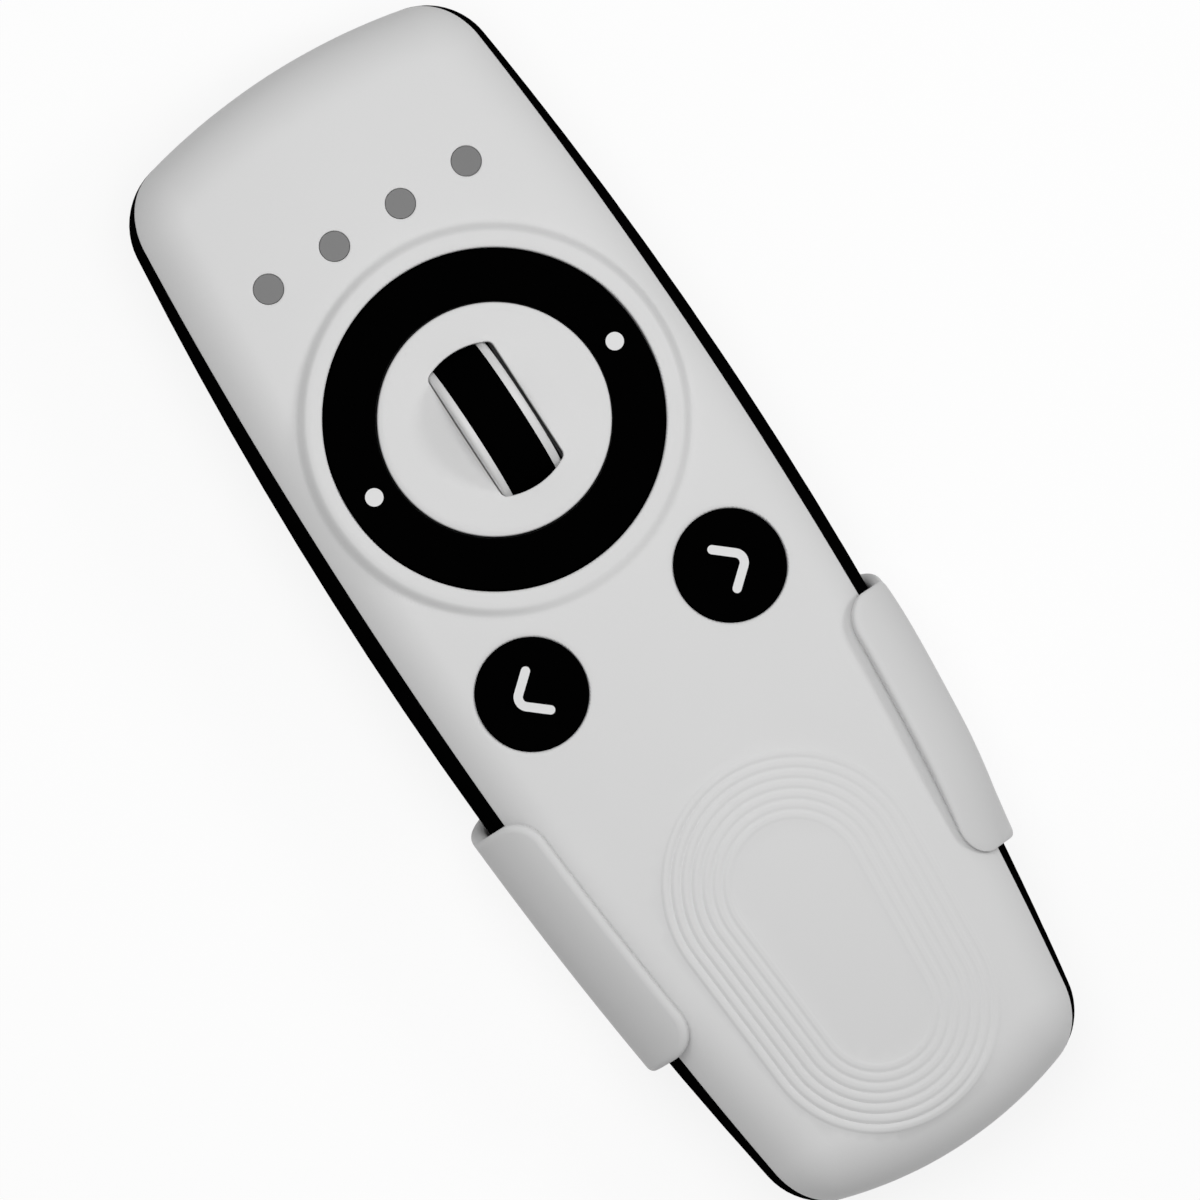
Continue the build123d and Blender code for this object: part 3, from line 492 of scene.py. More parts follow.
wall = holder_wall - on_right * (lower_draw * lower**lower_bend + upper_draw * upper**upper_bend)
near_skin = holder_point(plan, holder_gap + wall * edge_under * fall / holder_edge)
far_skin = holder_point(plan, holder_gap + wall * (1 - edge_over * fall / holder_edge))
screw_reach = nearest_gap(plan, screw_places)
cone = np.where(screw_reach < wall_screw_head, holder_wall - wall_screw_head + screw_reach, np.inf)
near_skin[:, 2] = np.minimum(near_skin[:, 2], cone)
holder_abs = moulded_plastic("holder_abs_moulded", holder_grey, grain_mm=0.35, grain_depth_mm=0.004,
                             roughness=0.6, specular=0.25)
holder = two_skins("wall_holder_shell", near_skin, far_skin, triangles, holder_abs)
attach(holder, "holder")
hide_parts("wall_holder")

# Back shell and battery door: ABS moulded in black against a fine spark-eroded tool, which
# leaves a matt skin of tiny grains, dead black from every side. The door slides in the shell's
# rails from the bottom end.
matt_black = "#030303"


def finish_node(material, *names):
    """Gives CAD nodes their material."""
    for name in names:
        nodes[name].data.materials.clear()
        nodes[name].data.materials.append(material)


black_abs = moulded_plastic("black_abs_spark_eroded", matt_black, grain_mm=0.35,
                            grain_depth_mm=0.004, roughness=0.6, specular=0.0)
finish_node(black_abs, "back_shell", "battery_door")

# Battery contacts: stamped from spring steel strip and nickel plated, which gives a warm bright
# grey. The bent leaves press the flat ends of the cells, and the plates meet their nubs.
nickel_grey = "#C9C2B4"
rolled_stretch = 0.15
relief_mm = 0.002


def plated_metal(name, colour, roughness, spread, grain_mm):
    """Plated metal: full metal whose roughness wanders a little along its rolled grain.

    The real grain is a few hundredths of a millimetre. It is drawn coarser, so that it shows."""
    material, tree = new_material(name)
    place = add_node(tree, "ShaderNodeTexCoord")
    stretch = add_node(tree, "ShaderNodeMapping", {"Scale": (1.0, rolled_stretch, 1.0)},
                       {"Vector": place.outputs["Object"]})
    grain = add_node(tree, "ShaderNodeTexNoise", {"Scale": 1 / (grain_mm * mm), "Detail": 3.0},
                     {"Vector": stretch.outputs[0]})
    rough = add_node(tree, "ShaderNodeMapRange",
                     {"To Min": roughness - spread, "To Max": roughness + spread},
                     {"Value": grain.outputs[0]})
    bump = add_node(tree, "ShaderNodeBump", {"Strength": 1.0, "Distance": relief_mm * mm},
                    {"Height": grain.outputs[0]})
    shader = add_node(tree, "ShaderNodeBsdfPrincipled",
                      {"Base Color": linear(colour), "Metallic": 1.0},
                      {"Roughness": rough.outputs[0], "Normal": bump.outputs[0]})
    add_node(tree, "ShaderNodeOutputMaterial", links={"Surface": shader.outputs[0]})
    return material


nickel = plated_metal("nickel_plated_strip", nickel_grey, roughness=0.28, spread=0.08, grain_mm=0.5)
finish_node(nickel, "leaf_contacts", "flat_contacts")

# Cells: two AAA cells, drawn steel cans in a printed sleeve. The ends and the nub stay bright
# nickel, and the sleeve is dark with a copper-coloured band at the nub's end.
sleeve_dark = "#17191C"
sleeve_band = "#A8602F"
can_bright = "#C8C8C6"
sleeve_start_mm = 1.6
band_length_mm = 11.0
sleeve_metal = 0.6
sleeve_roughness = (0.25, 0.38)
smear_mm = 3


def cell_finish(name, nub_end):
    """A sleeved can: the distance from the nub's end picks bright metal, band or dark sleeve."""
    low_y, high_y = (corner[1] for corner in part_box(name))
    material, tree = new_material(name + "_printed_sleeve")
    place = add_node(tree, "ShaderNodeTexCoord")
    parts = add_node(tree, "ShaderNodeSeparateXYZ", links={"Vector": place.outputs["Object"]})
    start, end = (high_y, low_y) if nub_end > 0 else (low_y, high_y)
    along = add_node(tree, "ShaderNodeMapRange", {"From Min": start, "From Max": end},
                     {"Value": parts.outputs["Y"]})
    ramp = add_node(tree, "ShaderNodeValToRGB", links={0: along.outputs[0]})
    bands = ramp.color_ramp
    bands.interpolation = "CONSTANT"
    length_mm = (high_y - low_y) / mm
    stops = ((0.0, can_bright), (sleeve_start_mm / length_mm, sleeve_band),
             (band_length_mm / length_mm, sleeve_dark),
             (1 - sleeve_start_mm / 2 / length_mm, can_bright))
    bands.elements.remove(bands.elements[0])
    bands.elements[0].position = stops[0][0]
    bands.elements[0].color = linear(stops[0][1])
    for position, colour in stops[1:]:
        bands.elements.new(position).color = linear(colour)
    smear = add_node(tree, "ShaderNodeTexNoise", {"Scale": 1 / (smear_mm * mm)},
                     {"Vector": place.outputs["Object"]})
    rough = add_node(tree, "ShaderNodeMapRange",
                     {"To Min": sleeve_roughness[0], "To Max": sleeve_roughness[1]},
                     {"Value": smear.outputs[0]})
    shader = add_node(tree, "ShaderNodeBsdfPrincipled", {"Metallic": sleeve_metal},
                      {"Base Color": ramp.outputs[0], "Roughness": rough.outputs[0]})
    add_node(tree, "ShaderNodeOutputMaterial", links={"Surface": shader.outputs[0]})
    finish_node(material, name)


cell_finish("cell_left", 1)
cell_finish("cell_right", -1)

# Circuit board: green solder resist over copper tracks on glass-fibre laminate. The resist is
# glossy, and the tracks show under it as paler raised lines, drawn wider than real ones.
resist_green = "#0E4A26"
track_green = "#1C6B3A"
track_pitch_mm = 2.4
track_share = 0.16
track_core = 0.7
track_wander = 0.75
track_relief_mm = 0.03


def circuit_board(name):
    """Solder resist: the borders of a pattern of cells, a track pitch apart, show paler and raised."""
    material, tree = new_material(name)
    place = add_node(tree, "ShaderNodeTexCoord")
    tracks = add_node(tree, "ShaderNodeTexVoronoi",
                      {"feature": "DISTANCE_TO_EDGE", "Randomness": track_wander,
                       "Scale": 1 / (track_pitch_mm * mm)}, {"Vector": place.outputs["Object"]})
    line = add_node(tree, "ShaderNodeMapRange",
                    {"From Min": track_share * track_core, "From Max": track_share,
                     "To Min": 1.0, "To Max": 0.0}, {"Value": tracks.outputs[0]})
    tint = add_node(tree, "ShaderNodeMix",
                    {"data_type": "RGBA", 6: linear(resist_green), 7: linear(track_green)},
                    {"Factor": line.outputs[0]})
    bump = add_node(tree, "ShaderNodeBump", {"Strength": 0.6, "Distance": track_relief_mm * mm},
                    {"Height": line.outputs[0]})
    shader = add_node(tree, "ShaderNodeBsdfPrincipled", {"Roughness": 0.3},
                      {"Base Color": tint.outputs[2], "Normal": bump.outputs[0]})
    add_node(tree, "ShaderNodeOutputMaterial", links={"Surface": shader.outputs[0]})
    return material


finish_node(circuit_board("solder_resist_on_laminate"), "main_board")

# Packages on the board: the controller in black moulded epoxy, the radio under its can of tinned
# steel, the clock crystal, the bent antenna strip, and four light-emitting chips in pale resin.
# Epoxy is dull, tinned sheet is bright with a rolled grain, and the resin is smooth and glossy.
epoxy_black = "#141516"
tin_grey = "#BFBFBC"
resin_white = "#E9E7DC"
epoxy = moulded_plastic("black_moulded_epoxy", epoxy_black, grain_mm=0.12, grain_depth_mm=0.004,
                        roughness=0.55, specular=0.4)
finish_node(epoxy, "processor_chip")
tinned = plated_metal("tinned_steel_sheet", tin_grey, roughness=0.35, spread=0.1, grain_mm=0.8)
finish_node(tinned, "radio_module", "board_crystal", "antenna")
resin = moulded_plastic("cast_clear_resin", resin_white, grain_mm=0.6, grain_depth_mm=0.001,
                        roughness=0.15, specular=0.5)
finish_node(resin, "indicator_lights")

# Switches: tact switches with square bodies of black glass-filled polyamide, slightly rough from
# its fibres, and stems of smooth white acetal. The stems rest against the keys, the ring's feet
# and the wheel's cradle.
polyamide_black = "#1A1A1B"
acetal_white = "#E4E2DC"
polyamide = moulded_plastic("black_glass_filled_polyamide", polyamide_black, grain_mm=0.2,
                            grain_depth_mm=0.006, roughness=0.5, specular=0.4)
finish_node(polyamide, "ring_switches", "channel_switches", "wheel_switch", "pairing_switch")
acetal = moulded_plastic("white_acetal", acetal_white, grain_mm=0.4, grain_depth_mm=0.001,
                         roughness=0.35, specular=0.5)
finish_node(acetal, "ring_switch_stems", "left_switch_stem", "right_switch_stem", "wheel_switch_stem",
            "pairing_switch_stem")

# Frame and cradle: black polyamide mouldings under the panel. The frame carries the ring's
# pivots, and the cradle carries the wheel's axle and its encoder down onto a switch.
finish_node(polyamide, "inner_frame", "wheel_cradle", "wheel_encoder")

# Scroll wheel: a spool of pale grey ABS on a steel pin, with a black rubber tread stretched into
# its groove. The rims show as two bright lines beside the dead black tread.
rim_grey = "#D6D6D6"
rubber_black = "#020202"
zinc_grey = "#B4B6B8"
rim_abs = moulded_plastic("pale_grey_abs_rim", rim_grey, grain_mm=0.3, grain_depth_mm=0.002,
                          roughness=0.45, specular=0.3)
finish_node(rim_abs, "wheel_hub")
rubber = moulded_plastic("black_rubber_tread", rubber_black, grain_mm=0.25, grain_depth_mm=0.006,
                         roughness=0.85, specular=0.0)
finish_node(rubber, "wheel_tyre")
zinc = plated_metal("bright_zinc_plate", zinc_grey, roughness=0.3, spread=0.08, grain_mm=0.4)
finish_node(zinc, "wheel_axle", "case_screws")

# Ring and keys: moulded in solid black with a fine satin texture, and the white dots and arrow
# heads moulded into them as a second shot, flush with the skin.
key_black = "#020202"
mark_white = "#DADADA"
ring_outer = 18.4
ring_inner = 12.9
ring_plate = 1.6
ring_skirt = 3.8
ring_skirt_wall = 1.1
ring_flange_height = 0.9
ring_flange_radius = 19.0
ring_edge = 0.25
ring_foot_offset = 15.6
ring_foot_half = (2.0, 1.1)
pivot_radius = 1.0
pivot_inner = 15.0
pivot_outer = 16.6
pivot_web_half = 0.6
pivot_below_panel = 3.6
dot_offset = 15.5
dot_radius = 1.0
dot_step = 0.25
dot_clearance = 0.3
flange_round = 0.1
ring_step = 0.45
ring_fill_margin = 0.9
ring_fill_circles = 6
pin_points = 32
tiny = 1e-9


def rounded_path(corners, radii, arc_points=6):
    """A path of radius and height through corners, each rounded by its own tangent arc."""
    corners = np.array(corners, float)
    path = [corners[:1]]
    for before, corner, after, radius in zip(corners, corners[1:], corners[2:], radii):
        back = (before - corner) / np.linalg.norm(before - corner)
        ahead = (after - corner) / np.linalg.norm(after - corner)
        half = np.arccos(np.clip(back @ ahead, -1, 1)) / 2
        centre = corner + (back + ahead) / np.linalg.norm(back + ahead) * radius / np.sin(half)
        start = corner + back * radius / np.tan(half) - centre
        end = corner + ahead * radius / np.tan(half) - centre
        share = np.linspace(0, 1, arc_points)[:, None]
        blend = start * (1 - share) + end * share
        path.append(centre + blend / lengths_of(blend) * radius)
    return np.concatenate((*path, corners[-1:]))


def path_lengths(path):
    """Length along a path, counted so that it equals the radius where the path runs flat on top."""
    steps = np.linalg.norm(np.diff(path, axis=0), axis=1)
    lengths = np.concatenate(([0], np.cumsum(steps)))
    top = path[:, 1].max()
    flat = np.isclose(path[:, 1], top)
    shift = path[flat][0, 0] - lengths[flat][0]
    return lengths + shift


def ring_loops(centre, radii, step):
    """Circles of several radii round one centre, their points about step apart on each."""
    loops = []
    for radius in radii:
        count = int(np.ceil(2 * np.pi * radius / step))
        loops.append(centre + radius * circled(np.linspace(0, 2 * np.pi, count, endpoint=False)))
    return loops


def block_solid(low, high):
    """A closed box as points and faces turned outwards."""
    picks = np.array([[i & 1, i >> 1 & 1, i >> 2 & 1] for i in range(8)])
    points = np.where(picks, high, low).astype(float)
    faces = [[0, 2, 3, 1], [4, 5, 7, 6], [0, 1, 5, 4], [2, 6, 7, 3], [0, 4, 6, 2], [1, 3, 7, 5]]
    return points, faces


def pin_solid(start, end, radius):
    """A closed round pin from one point to another, along X or along Z, turned outwards."""
    count = pin_points
    angle = np.linspace(0, 2 * np.pi, count, endpoint=False)
    first, second = (1, 2) if start[0] != end[0] else (0, 1)
    circle = np.zeros((count, 3))
    circle[:, first] = radius * np.cos(angle)
    circle[:, second] = radius * np.sin(angle)
    points = np.concatenate((circle + start, circle + end))
    around = [[i, (i + 1) % count, (i + 1) % count + count, i + count] for i in range(count)]
    return points, [*around, list(range(count))[::-1], list(range(count, 2 * count))]


def turned_skin(plan, centre, lengths, path):
    """Points of a turned skin: the plan's distance from the centre is the length along the path."""
    away = plan - centre
    length = np.linalg.norm(away, axis=1)
    radius = np.interp(length, lengths, path[:, 0])
    height = np.interp(length, lengths, path[:, 1])
    place = centre + away * (radius / np.maximum(length, tiny))[:, None]
    return np.column_stack((place, height))


ring_centre = np.array((0.0, wheel_y))
under_plate = panel_z - ring_plate
skirt_foot = panel_z - ring_skirt
skirt_inside = ring_outer - ring_skirt_wall
ring_path = rounded_path(
    ((ring_inner, panel_z - ring_plate / 2), (ring_inner, panel_z), (ring_outer, panel_z),
     (ring_outer, skirt_foot + ring_flange_height),
     (ring_flange_radius, skirt_foot + ring_flange_height),
     (ring_flange_radius, skirt_foot)), (ring_edge, ring_edge, flange_round, flange_round))
ring_lengths = path_lengths(ring_path)
under_path = np.array(((ring_inner, under_plate), (skirt_inside, under_plate),
                       (skirt_inside, skirt_foot)))
under_lengths = np.array((ring_lengths[0], skirt_inside, ring_lengths[-1]))
dot_places = [ring_centre + (side * dot_offset, 0) for side in (-1, 1)]
dot_rims = [ring_loops(place, (dot_radius,), dot_step)[0] for place in dot_places]
ring_rims = ring_loops(ring_centre, (ring_lengths[-1], ring_lengths[0]), ring_step)
flat_radii = np.linspace(ring_inner + ring_fill_margin, ring_outer - ring_fill_margin, ring_fill_circles)
loose = np.concatenate(ring_loops(ring_centre, (*ring_lengths[1:-1], *flat_radii), ring_step))
loose = loose[nearest_gap(loose, dot_places) > dot_radius + dot_clearance]
plan = np.concatenate((*ring_rims, *dot_rims, loose))
triangles = triangulate(plan, [len(rim) for rim in (*ring_rims, *dot_rims)])
pivot_z = panel_z - pivot_below_panel
solids = []
for side in (-1, 1):
    foot_y = wheel_y + side * ring_foot_offset
    solids.append(block_solid((-ring_foot_half[0], foot_y - ring_foot_half[1], ring_low[2]),
                              (ring_foot_half[0], foot_y + ring_foot_half[1], under_plate)))
    near, far = sorted((side * pivot_inner, side * pivot_outer))
    solids.append(pin_solid((near, wheel_y, pivot_z), (far, wheel_y, pivot_z), pivot_radius))
    solids.append(block_solid((near, wheel_y - pivot_web_half, pivot_z),
                              (far, wheel_y + pivot_web_half, under_plate)))
satin_black = moulded_plastic("black_satin_key_plastic", key_black, grain_mm=0.3,
                              grain_depth_mm=0.002, roughness=0.55, specular=0.0)
top = turned_skin(plan, ring_centre, ring_lengths, ring_path)
under = turned_skin(plan, ring_centre, under_lengths, under_path)
ring = two_skins("rocker_ring_cap", top, under, triangles, satin_black, solids)
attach(ring, "rocker")
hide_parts("rocker_ring")
finish_node(satin_black, "pairing_button")
white_shot = moulded_plastic("white_second_shot", mark_white, grain_mm=0.3, grain_depth_mm=0.001,
                             roughness=0.5, specular=0.3)
finish_node(white_shot, "ring_dots", "left_chevron", "right_chevron")

# Channel keys: round black keys that follow the crown a little proud of it, with a thin flange
# that stays under the shell and a stem that rests on a switch. The arrow heads are let in.
key_offset = 12.8
key_radius = 6.1
key_proud = 0.3
key_edge = 0.25
key_flange_radius = 7.0
key_flange_depth = 2.4
key_flange_thickness = 0.5
key_skirt = 2.6
key_stem_radius = 2.2
key_step = 0.4
key_fill_margin = 0.6
key_fill_circles = 9
chevron_stroke = 1.0
chevron_half_height = 2.5
chevron_tip = 2.15
chevron_end = 0.77
chevron_bend = 1.05
chevron_arc_points = 12
chevron_clearance = 0.3

key_low, key_high = (np.array(corner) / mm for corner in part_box("left_button"))
keys_y = (key_low[1] + key_high[1]) / 2


def chevron_rim(centre, side):
    """Outline of an arrow head: a bent stroke of even width with round ends."""
    points = ((-chevron_end, chevron_half_height), (chevron_tip, 0),
              (-chevron_end, -chevron_half_height))
    line = rounded_path(points, (chevron_bend,), chevron_arc_points)
    ahead = np.gradient(line, axis=0)
    ahead = ahead / lengths_of(ahead)
    aside = np.column_stack((-ahead[:, 1], ahead[:, 0])) * chevron_stroke / 2
    turn = np.linspace(0, np.pi, chevron_arc_points)[1:-1, None]
    far_cap = line[-1] + aside[-1] * np.cos(turn) + ahead[-1] * np.sin(turn) * chevron_stroke / 2
    near_cap = line[0] - aside[0] * np.cos(turn) - ahead[0] * np.sin(turn) * chevron_stroke / 2
    rim = np.concatenate((line + aside, far_cap, (line - aside)[::-1], near_cap))
    return centre + rim[::-1 * side] * (side, 1)


flange_foot = -key_flange_depth - key_flange_thickness
flat_path = rounded_path(((0, 0), (key_radius, 0), (key_radius, -key_flange_depth),
                          (key_flange_radius, -key_flange_depth), (key_flange_radius, flange_foot)),
                         (key_edge, flange_round, flange_round))
key_lengths = path_lengths(flat_path)
flat_radii = np.linspace(key_fill_margin, key_radius - key_fill_margin, key_fill_circles)
key_fill = (*key_lengths[1:-1], *flat_radii)
for side, name, body in ((-1, "left", "left_key"), (1, "right", "right_key")):
    centre = np.array((side * key_offset, keys_y))
    rims = [ring_loops(centre, (key_lengths[-1],), key_step)[0], chevron_rim(centre, side)]
    loose = np.concatenate(ring_loops(centre, key_fill, key_step))
    loose = loose[nearest_gap(loose, rims[1]) > chevron_clearance]
    plan = np.concatenate((*rims, loose))
    triangles = triangulate(plan, [len(rim) for rim in rims])
    top = turned_skin(plan, centre, key_lengths, flat_path)
    top[:, 2] += crown_height(top[:, :2], key_proud)
    under = np.column_stack((centre + (plan - centre) * key_flange_radius / key_lengths[-1],
                             np.full(len(plan), key_low[2] + key_skirt)))
    stem = pin_solid((*centre, key_low[2]), (*centre, key_low[2] + key_skirt), key_stem_radius)
    key = two_skins(name + "_key_cap", top, under, triangles, satin_black, [stem])
    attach(key, body)
    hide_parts(name + "_button")

# Light guide: one moulding of smoky polycarbonate that ends in the four round windows, let into
# the shell. Unlit, the windows are a flat mid grey.
smoke_grey = "#6E6E6E"
smoky = moulded_plastic("smoky_polycarbonate", smoke_grey, grain_mm=0.5, grain_depth_mm=0.001,
                        roughness=0.4, specular=0.25)
finish_node(smoky, "light_guide")

# Centre disc: light grey ABS like the shell's. Its top sinks into a shallow dish round the slot
# through which the wheel stands out, and four legs carry it on the inner frame.
shell_grey = "#D6D6D6"
disc_radius = 12.68
disc_wall = 1.7
disc_edge = 0.25
dish_radius = 8.5
dish_depth = 0.9
slot_half_width = 4.05
slot_shift = 0.25
slot_end_radius = 8.45
slot_corner = 0.8
slot_edge = 0.15
disc_leg_radius = 1.1
disc_leg_x = 9.0
disc_leg_y = 7.0
disc_step = 0.4
disc_fill_start = 1.0
disc_fill_margin = 0.6
disc_fill_pitch = 0.35
disc_under_rim = 2
slot_clearance = 0.2
slot_corner_points = 7
slot_end_points = 24
slot_side_points = 40


def distance(points, place):
    """Distance of points from one place."""
    return np.linalg.norm(points - place, axis=1)


def slot_loop(inset):
    """The slot's outline drawn in by inset: two straight sides, two arcs, rounded corners."""
    corner = slot_corner - inset
    low_x = slot_shift - slot_half_width + slot_corner
    high_x = slot_shift + slot_half_width - slot_corner
    core = slot_end_radius - slot_corner
    low_y, high_y = np.sqrt(core**2 - low_x**2), np.sqrt(core**2 - high_x**2)
    low_turn, high_turn = np.arctan2(low_y, low_x), np.arctan2(high_y, high_x)
    upper = np.concatenate((
        (high_x, high_y) + corner * circled(np.linspace(0, high_turn, slot_corner_points)),
        (core + corner) * circled(np.linspace(high_turn, low_turn, slot_end_points)[1:-1]),
        (low_x, low_y) + corner * circled(np.linspace(low_turn, np.pi, slot_corner_points))))
    share = np.linspace(-1, 1, slot_side_points)[1:-1, None]
    left = np.hstack((np.full_like(share, low_x - corner), -share * low_y))
    right = np.hstack((np.full_like(share, high_x + corner), share * high_y))
    return ring_centre + np.concatenate((upper, left, upper[::-1] * (1, -1), right))


shell_abs = moulded_plastic("light_grey_abs_matt", shell_grey, grain_mm=0.35, grain_depth_mm=0.004,
                            roughness=0.55, specular=0.25)
disc_path = rounded_path(((0, panel_z), (disc_radius, panel_z), (disc_radius, panel_z - disc_wall / 2)),
                         (disc_edge,))
disc_lengths = path_lengths(disc_path)
rims = [ring_loops(ring_centre, (disc_lengths[-1],), disc_step)[0], slot_loop(0)]
flat_radii = np.arange(disc_fill_start, disc_radius - disc_fill_margin, disc_fill_pitch)
slot_rings = [slot_loop(-step) for step in slot_edge * (1 - np.cos(quarter[3::3]))]
loose = np.concatenate(ring_loops(ring_centre, (*disc_lengths[2:-1], *flat_radii), disc_step))
free = (nearest_gap(loose, rims[1]) > slot_edge + slot_clearance) & ~inside_loop(loose, rims[1])
plan = np.concatenate((*rims, *slot_rings, loose[free]))
triangles = triangulate(plan, [len(rim) for rim in rims])
top = turned_skin(plan, ring_centre, disc_lengths, disc_path)
reach = distance(plan, ring_centre)
top[:, 2] -= dish_depth * (0.5 + 0.5 * np.cos(np.pi * np.clip(reach / dish_radius, 0, 1)))
top[:, 2] -= rolled(nearest_gap(plan, rims[1]), slot_edge)
disc_under = panel_z - disc_wall
under_radii = (0, disc_radius - disc_under_rim, disc_radius)
under_path = np.column_stack((under_radii, np.full(len(under_radii), disc_under)))
under = turned_skin(plan, ring_centre, (*under_radii[:2], disc_lengths[-1]), under_path)
leg_low = (np.array(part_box("wheel_bezel")[0]) / mm)[2]
legs = [pin_solid((x, wheel_y + y, leg_low), (x, wheel_y + y, disc_under), disc_leg_radius)
        for x in (-disc_leg_x, disc_leg_x) for y in (-disc_leg_y, disc_leg_y)]
disc = two_skins("centre_disc", top, under, triangles, shell_abs, legs)
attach(disc, "remote")
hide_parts("wheel_bezel")

# Front shell: light grey ABS with a fine matt texture. It carries the raised round panel, whose
# edge rolls softly down to the crown, the finger pad's low ridges, worn most on the right, and
# four bosses inside that take the screws from the back.
shell_wall = 1.8
shell_edge = 0.22
seam_height_widest = 15.0
seam_height_top = 13.0
seam_height_bottom = 11.7
seam_end_inset = 8.2
seam_end_radius = 11.0
seam_reveal = 0.1
panel_slope_start = 20.3
panel_slope_end = 21.55
ring_opening = 18.62
key_opening = 6.22
window_pitch = 8.5
window_opening = 1.68
window_edge = 0.1
pad_top_radius = 14.1
pad_bottom_radius = 13.0
pad_top_below_keys = 32.6
pad_spacing = 16.3
boss_radius = 2.6
boss_offset = 15.768
boss_depth = 4.9
ridge_count = 7
ridge_pitch = 1.12
ridge_height = 0.15
ridge_fade = 0.4
crest_breadth = 2.4
worn_towards = np.array((0.9, 0.1))
wear_gain = 0.6
least_worn = -0.4
most_worn = 0.7
flat_limit = 0.99
seam_search = 30.0
seam_halvings = 32
rim_step = 0.8
opening_step = 0.45
window_step = 0.3
opening_edge_points = 4
slope_pitch = 0.117
slope_apart = (19.7, 21.9, 22.4)
slope_step = 0.5
pad_step = 0.5
loops_per_ridge = 8
edge_insets = (0.03, 0.1, shell_edge, 0.7)
flank_inset = 1.4
flank_loops = 14
crown_step = 1.7
crown_inset = 0.8
panel_clearance = 22.8
pad_clearance = 0.4

guide_low, guide_high = (np.array(corner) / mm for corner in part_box("light_guide"))
windows_y = (guide_low[1] + guide_high[1]) / 2
panel_centre = np.array((0.0, wheel_y))
pad_top = np.array((0.0, keys_y - pad_top_below_keys))
side_core = side_radius - corner_radius


def core_corner(end_centre, end_core, up):
    """Where the side's arc meets an end's arc, both drawn in by the corner's radius."""
    to_end = end_centre - side_centre
    gap = np.linalg.norm(to_end)
    along = (gap**2 + side_core**2 - end_core**2) / (2 * gap)
    across = up * np.sqrt(side_core**2 - along**2)
    direction = to_end / gap
    return side_centre + direction * along + np.array((-direction[1], direction[0])) * across


top_corner = core_corner(top_centre, top_radius - corner_radius, 1)
low_corner = core_corner(low_centre, bottom_radius - corner_radius, -1)


def nearest_rim(plan, inset):
    """Foot, outward normal and distance of plan points from the outline drawn in by inset.

    A point is nearest to the side's arc, to an end's arc, or to the corner between them: to the
    corner where the feet on both arcs lie past it."""
    half = np.column_stack((np.abs(plan[:, 0]), plan[:, 1]))
    high = half[:, 1:] > widest_y
    end_centre = np.where(high, top_centre, low_centre)
    beyond = np.where(high, 1, -1) * (half[:, 1:] - end_centre[:, 1:]) > 0
    end_core = np.where(high, top_radius, bottom_radius) - corner_radius
    side_away = half - side_centre
    end_away = half - end_centre
    side_length = lengths_of(side_away)
    end_length = lengths_of(end_away) + tiny
    side_foot = side_centre + side_away * side_core / side_length
    end_foot = end_centre + end_away * end_core / end_length
    past_side = beyond & (lengths_of(side_foot - end_centre) > end_core)
    past_end = lengths_of(end_foot - side_centre) > side_core
    take_end = past_side | (beyond & ~past_end & (end_length - end_core > side_length - side_core))
    corner = np.where(high, top_corner, low_corner)
    corner_away = half - corner
    corner_length = lengths_of(corner_away) + tiny
    at_corner = past_side & past_end
    length = np.where(take_end, end_length - end_core, side_length - side_core)
    length = np.where(at_corner, corner_length, length)
    core = np.where(at_corner, corner, np.where(take_end, end_foot, side_foot))
    normal = np.where(take_end, end_away / end_length, side_away / side_length)
    normal = np.where(at_corner, corner_away / corner_length, normal)
    flip = np.where(plan[:, :1] < 0, (-1.0, 1.0), (1.0, 1.0))
    out = length[:, 0] - (corner_radius - inset)
    return (core + normal * (corner_radius - inset)) * flip, normal * flip, out


def edge_point(foot, normal, out, grow):
    """Points beyond the edge balls' centre line: crown, then round the ball, then down the flank."""
    ball = crown_height(foot, -face_edge)
    angle = np.clip(out / face_edge, 0, np.pi / 2)
    place = foot + normal * ((face_edge + grow) * np.sin(angle))[:, None]
    lean_x = foot[:, 0] * normal[:, 0] / (cross_crown - face_edge)
    lean_y = (foot[:, 1] - widest_y) * normal[:, 1] / (long_crown - face_edge)
    drop = np.maximum(out - face_edge * np.pi / 2, 0)
    round_z = ball + (face_edge + grow) * np.cos(angle) - drop
    height = np.where(angle > lean_x + lean_y, round_z, crown_height(place, grow))
    return np.column_stack((place, height))


def face_point(plan, grow):
    """Points of the face for its stretched plan, in which the rounded edge is laid out flat."""
    foot, normal, out = nearest_rim(plan, face_edge)
    inner = np.column_stack((plan, crown_height(plan, grow)))
    return np.where(out[:, None] > 0, edge_point(foot, normal, out, grow), inner)


def stretched(real):
    """The stretched plan of real plan points, with the rounded edge laid out flat."""
    foot, normal, out = nearest_rim(real, face_edge)
    length = face_edge * np.arcsin(np.clip(out / face_edge, 0, flat_limit))
    return np.where(out[:, None] > 0, foot + normal * length[:, None], real)


def seam_height(along):
    """Height of the seam: an arch through three points, with a tight arc that dives at each end."""
    low = np.array((bottom_end + seam_end_inset, back_z + seam_height_bottom))
    middle = np.array((widest_y, back_z + seam_height_widest))
    high = np.array((top_end - seam_end_inset, back_z + seam_height_top))
    sides = np.array((middle - low, high - low))
    centre = np.linalg.solve(sides, (sides**2).sum(axis=1) / 2) + low
    radius = np.linalg.norm(low - centre)
    height = centre[1] + np.sqrt(radius**2 - (along - centre[0]) ** 2)
    for end, sign in ((low, -1), (high, 1)):
        dive = end + (centre - end) * seam_end_radius / radius
        arc = dive[1] + np.sqrt(np.maximum(seam_end_radius**2 - (along - dive[0]) ** 2, 0))
        height = np.where((along - end[0]) * sign > 0, arc, height)
    return height


